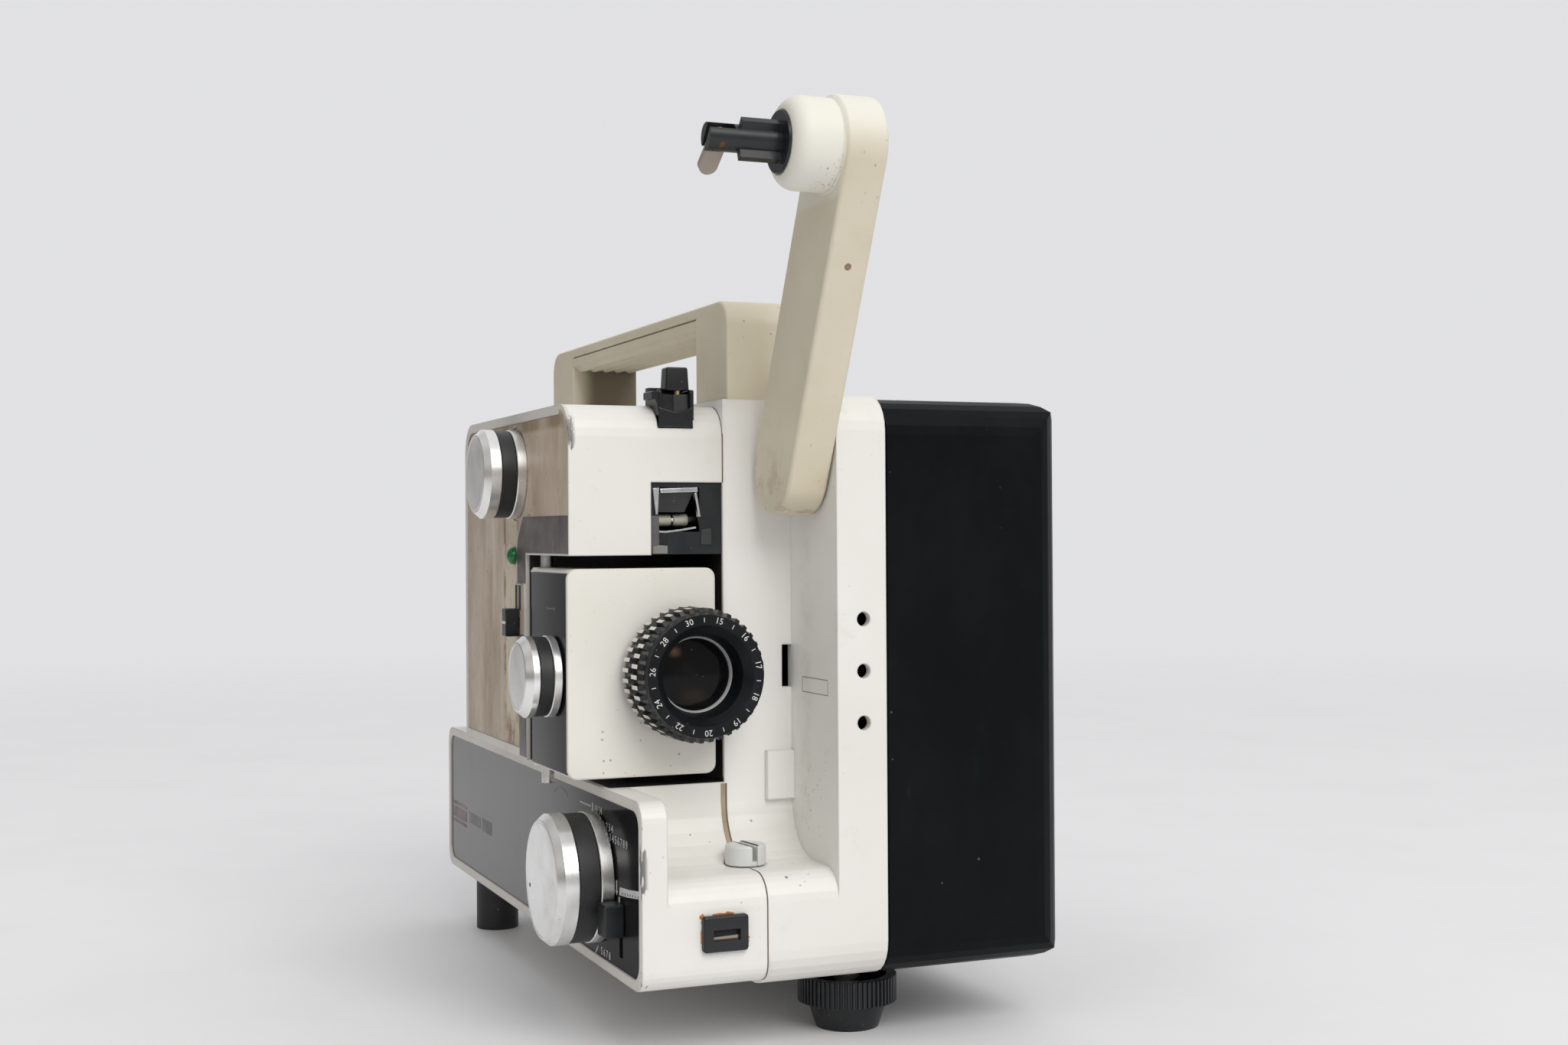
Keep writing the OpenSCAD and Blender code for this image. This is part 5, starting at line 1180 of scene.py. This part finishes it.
def makeControls():
    k = controlLook
    bm = bmesh.new()
    slideBlock(bm, "speed_lever", span("control_panel")[0].x, k["leverSoft"])
    finishPiece("speedLever", bm, ["black"], "speed_lever", ["speed_lever"])
    low, high = span("loop_slider")
    face = span("film_side_panel")[0].x
    mid, level = (low.y + high.y) / 2, (low.z + high.z) / 2
    bm = bmesh.new()
    slideBlock(bm, "loop_slider", face, k["sliderSoft"])
    inset, half = k["lineInset"], k["sliderLine"] / 2
    line = oblong(low.y + inset, level - half, high.y - inset, level + half)
    prism(bm, line, low.x - k["lineLift"], low.x + k["lineSink"], alongX, look=1)
    finishPiece("loopSlider", bm, ["black", "print"], "loop_slider", ["loop_slider"])
    # Dark slide track with a pale edge, over the slot that the slider runs in
    bm = bmesh.new()
    half, inside = k["tang"] / 2 + k["gap"], face + k["sink"]
    for y0, y1 in ((k["frameFront"], mid - half), (mid + half, k["frameRear"])):
        prism(bm, oblong(y0, k["frameFoot"], y1, k["frameTop"]), face - k["trackLift"], inside, alongX)
    finishPiece("sliderTrack", bm, ["dark"], "body")
    bm = bmesh.new()
    out = k["edgeOut"]
    edge = [(k["frameFront"] - out, k["frameFoot"]), (k["frameFront"] - out, k["frameTop"] + out),
            (k["frameRear"] + out, k["frameTop"] + out)]
    for a, b in zip(edge, edge[1:]):
        stroke(bm, [a, b], k["frameEdge"], face - k["edgeLift"], inside, alongX)
    finishPiece("sliderTrackEdge", bm, ["collar"], "body")


# Framing knob: a short round post, split by a slot from the front right to the back left
framingLook = {"radius": 6.1, "slot": 0.85, "turn": 7, "rim": 0.9, "tall": 5.1, "rise": 0.9, "stem": 3.0,
               "footSoft": 0.2, "discInset": 0.4, "discTall": 1.4, "discDrop": 0.05, "stemLap": 0.5}


def makeFramingKnob():
    k = framingLook
    low, high = span("framing_knob")
    axisX, axisY = (low.x + high.x) / 2, (low.y + high.y) / 2
    foot, top = high.z - k["tall"], high.z + k["rise"]
    bm = bmesh.new()
    gap = math.degrees(math.asin(k["slot"] / k["radius"]))
    for side in (0, 180):
        start = side + k["turn"] - 90
        moon = arc(axisX, axisY, k["radius"], start + gap, start + 180 - gap, 32)
        prism(bm, moon, foot, top, alongZ, k["footSoft"], k["rim"])
    rod(bm, (axisX, axisY, foot - k["discDrop"]), upward, k["radius"] - k["discInset"], k["discTall"], 48)
    rod(bm, (axisX, axisY, low.z), upward, k["stem"], foot - low.z + k["stemLap"], 32)
    finishPiece("framingKnob", bm, ["grey"], "framing_knob", ["framing_knob"])


# Pilot jewel: a domed green lens
jewelLook = {"radius": 2.8, "dome": 1.9, "neck": 2.0, "neckDeep": 2.6}


def makeJewel():
    k = jewelLook
    low, high = span("pilot_jewel")
    centre = middle("pilot_jewel")
    reach = high.x - low.x
    bm = bmesh.new()
    r = k["radius"]
    profile = [(0, 0), (k["neck"], 0), (k["neck"], k["neckDeep"]), (r, k["neckDeep"]), (r, reach - k["dome"])]
    profile += [(r * math.cos(math.radians(a)), reach - k["dome"] * (1 - math.sin(math.radians(a))))
                for a in range(15, 91, 15)]
    turned(bm, (high.x, centre.y, centre.z), leftward, profile, 40)
    finishPiece("pilotJewel", bm, ["jewel"], "body", ["pilot_jewel"])


print("shapes ready")


# Flat marks on the control panel: leaders, arrows, numbers, a strip of film and faded blocks
panelMarks = {"line": 0.42, "thick": 0.05, "sink": 0.03, "arrowLine": 0.9, "arrowHalf": 1.1, "arrowLong": 1.5,
              "leader": [(62.7, 68.8), (50.8, 68.8)], "arrow": [(49.2, 70.2), (49.2, 68.0)],
              "tick": [(45.7, 62.9), (45.7, 61.8), (45.7, 62.4), (39.7, 62.3)],
              "sweep": (84, 54, 16.5, 60, 118), "lowerSweep": (54.4, 36.9, 14.0, 222, 335),
              "underline": [(61.9, 22.9), (27.0, 24.6)],
              "underTip": [(61.0, 24.2), (62.9, 21.8), (63.4, 23.9)],
              "sideArrow": [(25.2, 50.4), (25.2, 47.4)],
              "film": [(22.8, 46.4), (14.0, 47.2), (3.4, 48.5), (3.4, 50.7), (14.0, 49.5), (22.2, 48.9)],
              "filmFront": 4, "filmLevel": 48.9, "filmSlope": 0.095, "holes": 7, "holeFirst": 5.0,
              "holeStep": 2.4, "holeHalf": 0.3, "holeSoft": 0.12, "holeLift": 0.03,
              "stub": [(23.6, 44.3), (22.0, 44.4), (22.0, 46.0), (23.4, 45.9)],
              "numbers": [("18 24", (43.4, 68.6)), ("1 2 3 4", (33.4, 64.7)),
                          ("1 2 3 4 5 6 7 8 9", (26.0, 61.9)), ("5 6 7 8", (36.4, 26.6))],
              "numberSize": 3.4, "numberLift": 0.01, "blockSoft": 0.3,
              "redBlocks": [((217.0, 46.2), (239.0, 47.4)), ((217.0, 41.2), (239.0, 45.2)),
                            ((217.0, 39.2), (239.0, 40.3))],
              "greyBlocks": [((194.4, 42.0), (212.8, 46.0)), ((177.0, 41.6), (191.6, 46.4))]}


def makePanelMarks():
    k = panelMarks
    face = span("control_panel")[0].x
    low, high = face - k["thick"], face + k["sink"]
    wide = k["line"]
    bm = bmesh.new()
    for path in (k["leader"], k["tick"][:2], k["tick"][2:], k["underline"], arc(*k["lowerSweep"], 16)):
        stroke(bm, path, wide, low, high, alongX)
    for tail, (y, z) in (k["arrow"], k["sideArrow"]):
        stroke(bm, [tail, (y, z)], k["arrowLine"], low, high, alongX)
        head = [(y - k["arrowHalf"], z), (y, z - k["arrowLong"]), (y + k["arrowHalf"], z)]
        prism(bm, head, low, high, alongX)
    for shape in ("underTip", "film", "stub"):
        prism(bm, k[shape], low, high, alongX)
    for text, (y, z) in k["numbers"]:
        lettering(bm, text, k["numberSize"], Vector((face - k["numberLift"], y, z)), forward, upward)
    finishPiece("panelMarks", bm, ["print"], "body")
    bm = bmesh.new()
    half = k["holeHalf"]
    for i in range(k["holes"]):
        y = k["holeFirst"] + k["holeStep"] * i
        z = k["filmLevel"] - k["filmSlope"] * (y - k["filmFront"])
        hole = roundBox(y - half, z - half, y + half, z + half, k["holeSoft"], 2)
        prism(bm, hole, low - k["holeLift"], high, alongX)
    finishPiece("filmHoles", bm, ["dark"], "body")
    bm = bmesh.new()
    stroke(bm, arc(*k["sweep"], 14), wide, low, high, alongX)
    for near, far in k["greyBlocks"]:
        prism(bm, roundBox(*near, *far, k["blockSoft"], 2), low, high, alongX)
    finishPiece("fadedMarks", bm, ["fadedPrint"], "body")
    bm = bmesh.new()
    for near, far in k["redBlocks"]:
        prism(bm, roundBox(*near, *far, k["blockSoft"], 2), low, high, alongX)
    finishPiece("fadedRedMarks", bm, ["fadedRed"], "body")


# A plain two-way arrow on the lens carrier's panel, above the focus knob
focusMark = {"front": 49.6, "rear": 56.4, "level": 129.3, "line": 0.4, "head": 1.0, "headLong": 1.6,
             "lift": 0.05, "sink": 0.03}


def makeFocusMark():
    k = focusMark
    face = span("lens_side_panel")[0].x
    low, high, level = face - k["lift"], face + k["sink"], k["level"]
    bm = bmesh.new()
    stroke(bm, [(k["front"], level), (k["rear"], level)], k["line"], low, high, alongX)
    for y, way in ((k["front"], -1), (k["rear"], 1)):
        head = [(y, level - k["head"]), (y + way * k["headLong"], level), (y, level + k["head"])]
        prism(bm, head, low, high, alongX)
    finishPiece("focusMark", bm, ["fadedPrint"], "lens_carrier")


# Brown trim left on the bare side panel: a bar along the top and a leg behind the lens carrier
def makeBrownStrip():
    k = strippedLook
    face = span("film_side_panel")[0].x
    slider = middle("loop_slider").y
    bm = bmesh.new()
    bar = [(k["stripFront"], k["stripFoot"]), (k["legRear"], k["stripFoot"]),
           (k["cornerRear"], k["cornerLow"]), (k["stripRear"], k["stripTop"]),
           (k["stripFront"], k["stripTop"])]
    outside, inside = face - k["film"], face + k["sink"]
    prism(bm, bar, outside, inside, alongX)
    for foot, top, rear in ((controlLook["frameTop"] + k["legGap"], k["stripFoot"], k["legRear"]),
                            (k["legFoot"], k["legTop"], slider - k["sliderGap"])):
        prism(bm, oblong(k["legFront"], foot, rear, top), outside, inside, alongX)
    finishPiece("brownTrim", bm, ["brownStrip"], "body")
    # The bare panel's front margin, which runs to the housing's corner
    low, high = span("film_housing")
    outer, inner = low.y + k["edge"], low.y + k["rimInset"]
    heart = (low.y + k["corner"], high.z - k["corner"])
    bm = bmesh.new()
    band = [(inner, k["stripTop"]), (inner, heart[1])] + arc(*heart, k["corner"] - k["rimInset"], 180, 90, 6)
    band += arc(*heart, k["corner"] - k["edge"] * 3, 90, 140, 4)
    band += arc(*heart, k["corner"] - k["edge"], 160, 180, 3)
    band += [(outer, k["stripTop"])]
    prism(bm, band[::-1], low.x - k["marginLift"], low.x + k["marginSink"], alongX)
    finishPiece("panelMargin", bm, ["stripped"], "body")


# Seams and dirt where two castings meet: thin ribbons that follow the front's outline
seamLook = {"half": 0.16, "lift": 0.1, "sink": 0.25, "lip": 8, "lipRun": 5.4, "scoop": 17, "scoopZ": 53,
            "boxCorner": 6, "housingCorner": 10, "windowGap": 0.2, "grimeLeft": 36.9, "grimeMid": 38.3,
            "grimeRight": 38.8, "grimeLift": 0.2, "grimeRun": 5.6}


def ribbon(bm, path, x0, x1, lift, sink):
    rings = []
    for i, point in enumerate(path):
        ahead = Vector(path[min(i + 1, len(path) - 1)]) - Vector(path[max(i - 1, 0)])
        out = Vector((-ahead.y, ahead.x)).normalized()
        top, under = Vector(point) + out * lift, Vector(point) - out * sink
        corners = ((x0, *under), (x1, *under), (x1, *top), (x0, *top))
        rings.append([bm.verts.new(corner) for corner in corners])
    closeRings(bm, rings)


def makeSeams():
    k = seamLook
    joint = span("control_box")[1].x
    recess = span("film_housing")[0].y
    boxFoot = span("control_box")[0].z
    housingTop = span("film_housing")[1].z
    windowTop = span("loop_chamber")[1].z
    bm = bmesh.new()
    lipZ = k["scoopZ"] - k["lip"]
    path = arc(k["boxCorner"], boxFoot + k["boxCorner"], k["boxCorner"], 270, 180, 8)
    path += arc(k["lip"], lipZ, k["lip"], 180, 90, 10) + [(k["lip"] + k["lipRun"], k["scoopZ"])]
    ribbon(bm, tidyLoop(path), joint - k["half"], joint + k["half"], k["lift"], k["sink"])
    corner = k["housingCorner"]
    path = [(recess, windowTop + k["windowGap"])]
    path += arc(recess + corner, housingTop - corner, corner, 180, 100, 10)
    ribbon(bm, tidyLoop(path), joint - k["half"], joint + k["half"], k["lift"], k["sink"])
    finishPiece("seamLines", bm, ["seam"], "body")
    bm = bmesh.new()
    heartY, heartZ = recess - k["scoop"], k["scoopZ"] + k["scoop"]
    path = arc(heartY, heartZ, k["scoop"], -60, 0, 12) + [(recess, heartZ + k["grimeRun"])]
    ribbon(bm, tidyLoop(path), k["grimeLeft"], k["grimeMid"], k["grimeLift"], k["sink"])
    finishPiece("scoopGrime", bm, ["grimeAndShade"], "body")
    bm = bmesh.new()
    ribbon(bm, tidyLoop(path), k["grimeMid"], k["grimeRight"], k["grimeLift"], k["sink"])
    finishPiece("scoopSeam", bm, ["seam"], "body")


# A bare stamped frame on the recess's side wall
stampLook = {"front": 7.2, "rear": 26.3, "foot": 103.5, "top": 108.0, "line": 0.26, "gap": 0.5, "lift": 0.03,
             "sink": 0.1}


def makeStamp():
    k = stampLook
    wall = span("feed_arm")[1].x + k["gap"]
    corners = oblong(k["front"], k["foot"], k["rear"], k["top"])
    bm = bmesh.new()
    for i in range(4):
        side = [corners[i], corners[(i + 1) % 4]]
        stroke(bm, side, k["line"], wall - k["lift"], wall + k["sink"], alongX)
    finishPiece("stampFrame", bm, ["etch"], "body")


# Slots in the cover's screw heads, as flat strokes of painted shade, and the contacts in the mains socket
fastenerLook = {"inset": 3, "slotHalf": 2.3, "slotWide": 0.7, "slotSink": 0.05, "slotLift": 0.03,
                "turns": (0.5, 1.1, 0.7), "pinHalf": 0.9, "pinFoot": 9.2, "pinReach": 6.5, "pinApart": 4.6,
                "pinSoft": 0.4}


def makeFasteners():
    k = fastenerLook
    low, high = span("cover_screws")
    inset, (first, along, up) = k["inset"], k["turns"]
    sunk, proud = high.x - k["slotSink"], high.x + k["slotLift"]
    bm = bmesh.new()
    for i, y in enumerate((low.y + inset, high.y - inset)):
        for j, z in enumerate((low.z + inset, high.z - inset)):
            a = first + along * i + up * j
            dy, dz = k["slotHalf"] * math.cos(a), k["slotHalf"] * math.sin(a)
            stroke(bm, [(y - dy, z - dz), (y + dy, z + dz)], k["slotWide"], sunk, proud, alongX)
    finishPiece("screwSlots", bm, ["dark"], "body")
    foot = span("mains_inlet")[1].y - k["pinFoot"]
    centre = middle("mains_inlet")
    bm = bmesh.new()
    for side in (-1, 1):
        x = centre.x + side * k["pinApart"]
        loop = arc(x, centre.z, k["pinHalf"], 0, 345, 23)
        prism(bm, loop, foot, foot + k["pinReach"], alongY, 0, k["pinSoft"])
    finishPiece("mainsContacts", bm, ["brass"], "body")


makeHandle()
makeArm("feedArm", "feed_arm", "feed_pivot", True)
makeArm("takeupArm", "takeup_arm", "takeup_pivot", False)
makeRivet("feedRivet", "feed_spindle")
makeRivet("takeupRivet", "takeup_spindle")
for knobNode in knobLooks:
    makeKnob(knobNode)
makeZoomRing()
makeLensMarks()
makeInlet()
makeInletButton()
makeLoopWindow()
makeRoller()
makeTrimmer()
makeControls()
makeFramingKnob()
makeJewel()
makePanelMarks()
makeFocusMark()
makeBrownStrip()
makeSeams()
makeStamp()
makeFasteners()
print("pieces made")


# Stage: a floor that fades into the pale backdrop, a soft key from the right, and the photo's camera
stageLook = {"floorRadius": 6.0, "fade": (0.5, 2.0), "floor": (0.83, 0.83, 0.845),
             "worn": (0.80, 0.80, 0.815), "behind": (0.755, 0.755, 0.77), "front": (0.46, 0.455, 0.445),
             "left": (0.195, 0.186, 0.172), "above": (0.85, 0.85, 0.86), "blendY": (-0.35, 0.35),
             "blendX": (-0.32, -0.2), "blendZ": (0.45, 0.9)}


def makeFloor():
    k = stageLook
    bm = bmesh.new()
    bmesh.ops.create_circle(bm, cap_ends=True, segments=96, radius=k["floorRadius"])
    mesh = bpy.data.meshes.new("studioFloor")
    bm.to_mesh(mesh)
    bm.free()
    floor = bpy.data.objects.new("studioFloor", mesh)
    scene.collection.objects.link(floor)
    mat, tree, shader, place = startFinish("paleFloor", k["floor"], 0.6)
    smudge = cloud(tree, place, 9, 5, 0.6)
    colourOf(tree, shader, tint(tree, between(tree, smudge, 0.4, 0.8), k["floor"], k["worn"]))
    far = tree.nodes.new("ShaderNodeVectorMath")
    far.operation = "LENGTH"
    tree.links.new(place, far.inputs[0])
    clear = tree.nodes.new("ShaderNodeBsdfTransparent")
    mix = tree.nodes.new("ShaderNodeMixShader")
    tree.links.new(between(tree, far.outputs["Value"], *k["fade"]), mix.inputs[0])
    tree.links.new(shader.outputs[0], mix.inputs[1])
    tree.links.new(clear.outputs[0], mix.inputs[2])
    tree.links.new(mix.outputs[0], tree.nodes["Material Output"].inputs["Surface"])
    mesh.materials.append(mat)


def makeWorld():
    k = stageLook
    world = bpy.data.worlds.new("studio")
    scene.world = world
    world.use_nodes = True
    tree = world.node_tree
    background = tree.nodes["Background"]
    place = tree.nodes.new("ShaderNodeTexCoord").outputs["Generated"]
    parts = tree.nodes.new("ShaderNodeSeparateXYZ")
    tree.links.new(place, parts.inputs[0])
    level = tint(tree, between(tree, parts.outputs["Y"], *k["blendY"]), k["front"], k["behind"])
    level = tint(tree, between(tree, parts.outputs["X"], *k["blendX"]), k["left"], level)
    level = tint(tree, between(tree, parts.outputs["Z"], *k["blendZ"]), level, k["above"])
    tree.links.new(level, background.inputs["Color"])
    background.inputs["Strength"].default_value = 1.0


def makeLight(name, place, target, size, watts, colour):
    data = bpy.data.lights.new(name, "AREA")
    data.shape = "DISK"
    data.size = size
    data.energy = watts
    data.color = colour
    lamp = bpy.data.objects.new(name, data)
    lamp.location = place
    lamp.rotation_euler = (Vector(target) - Vector(place)).to_track_quat("-Z", "Y").to_euler()
    scene.collection.objects.link(lamp)


photoCamera = {"place": (-168.5, -512.5, 151), "yaw": 22.5, "pitch": 0.4, "roll": -0.34, "focalPx": 2500,
               "widePx": 2048, "sensor": 36, "near": 0.01}


def makeCamera():
    k = photoCamera
    data = bpy.data.cameras.new("photoCamera")
    data.sensor_width = k["sensor"]
    data.sensor_fit = "HORIZONTAL"
    data.lens = k["sensor"] * k["focalPx"] / k["widePx"]
    data.clip_start = k["near"]
    camera = bpy.data.objects.new("photoCamera", data)
    turn = Matrix.Rotation(math.radians(-k["yaw"]), 4, "Z")
    tilt = Matrix.Rotation(math.radians(90 + k["pitch"]), 4, "X")
    roll = Matrix.Rotation(math.radians(k["roll"]), 4, "Z")
    camera.matrix_world = Matrix.Translation(toRow @ Vector(k["place"])) @ turn @ tilt @ roll
    scene.collection.objects.link(camera)
    scene.camera = camera


scene.view_settings.view_transform = "Standard"
makeFloor()
makeWorld()
makeLight("key", (0.2, -3.2, 2.65), (0, 0, 0.12), 2.8, 89, (1.0, 0.985, 0.96))
makeLight("fill", (-1.4, -0.9, 0.9), (0, 0, 0.1), 1.2, 2, (1.0, 0.98, 0.96))
makeCamera()
print("stage set")
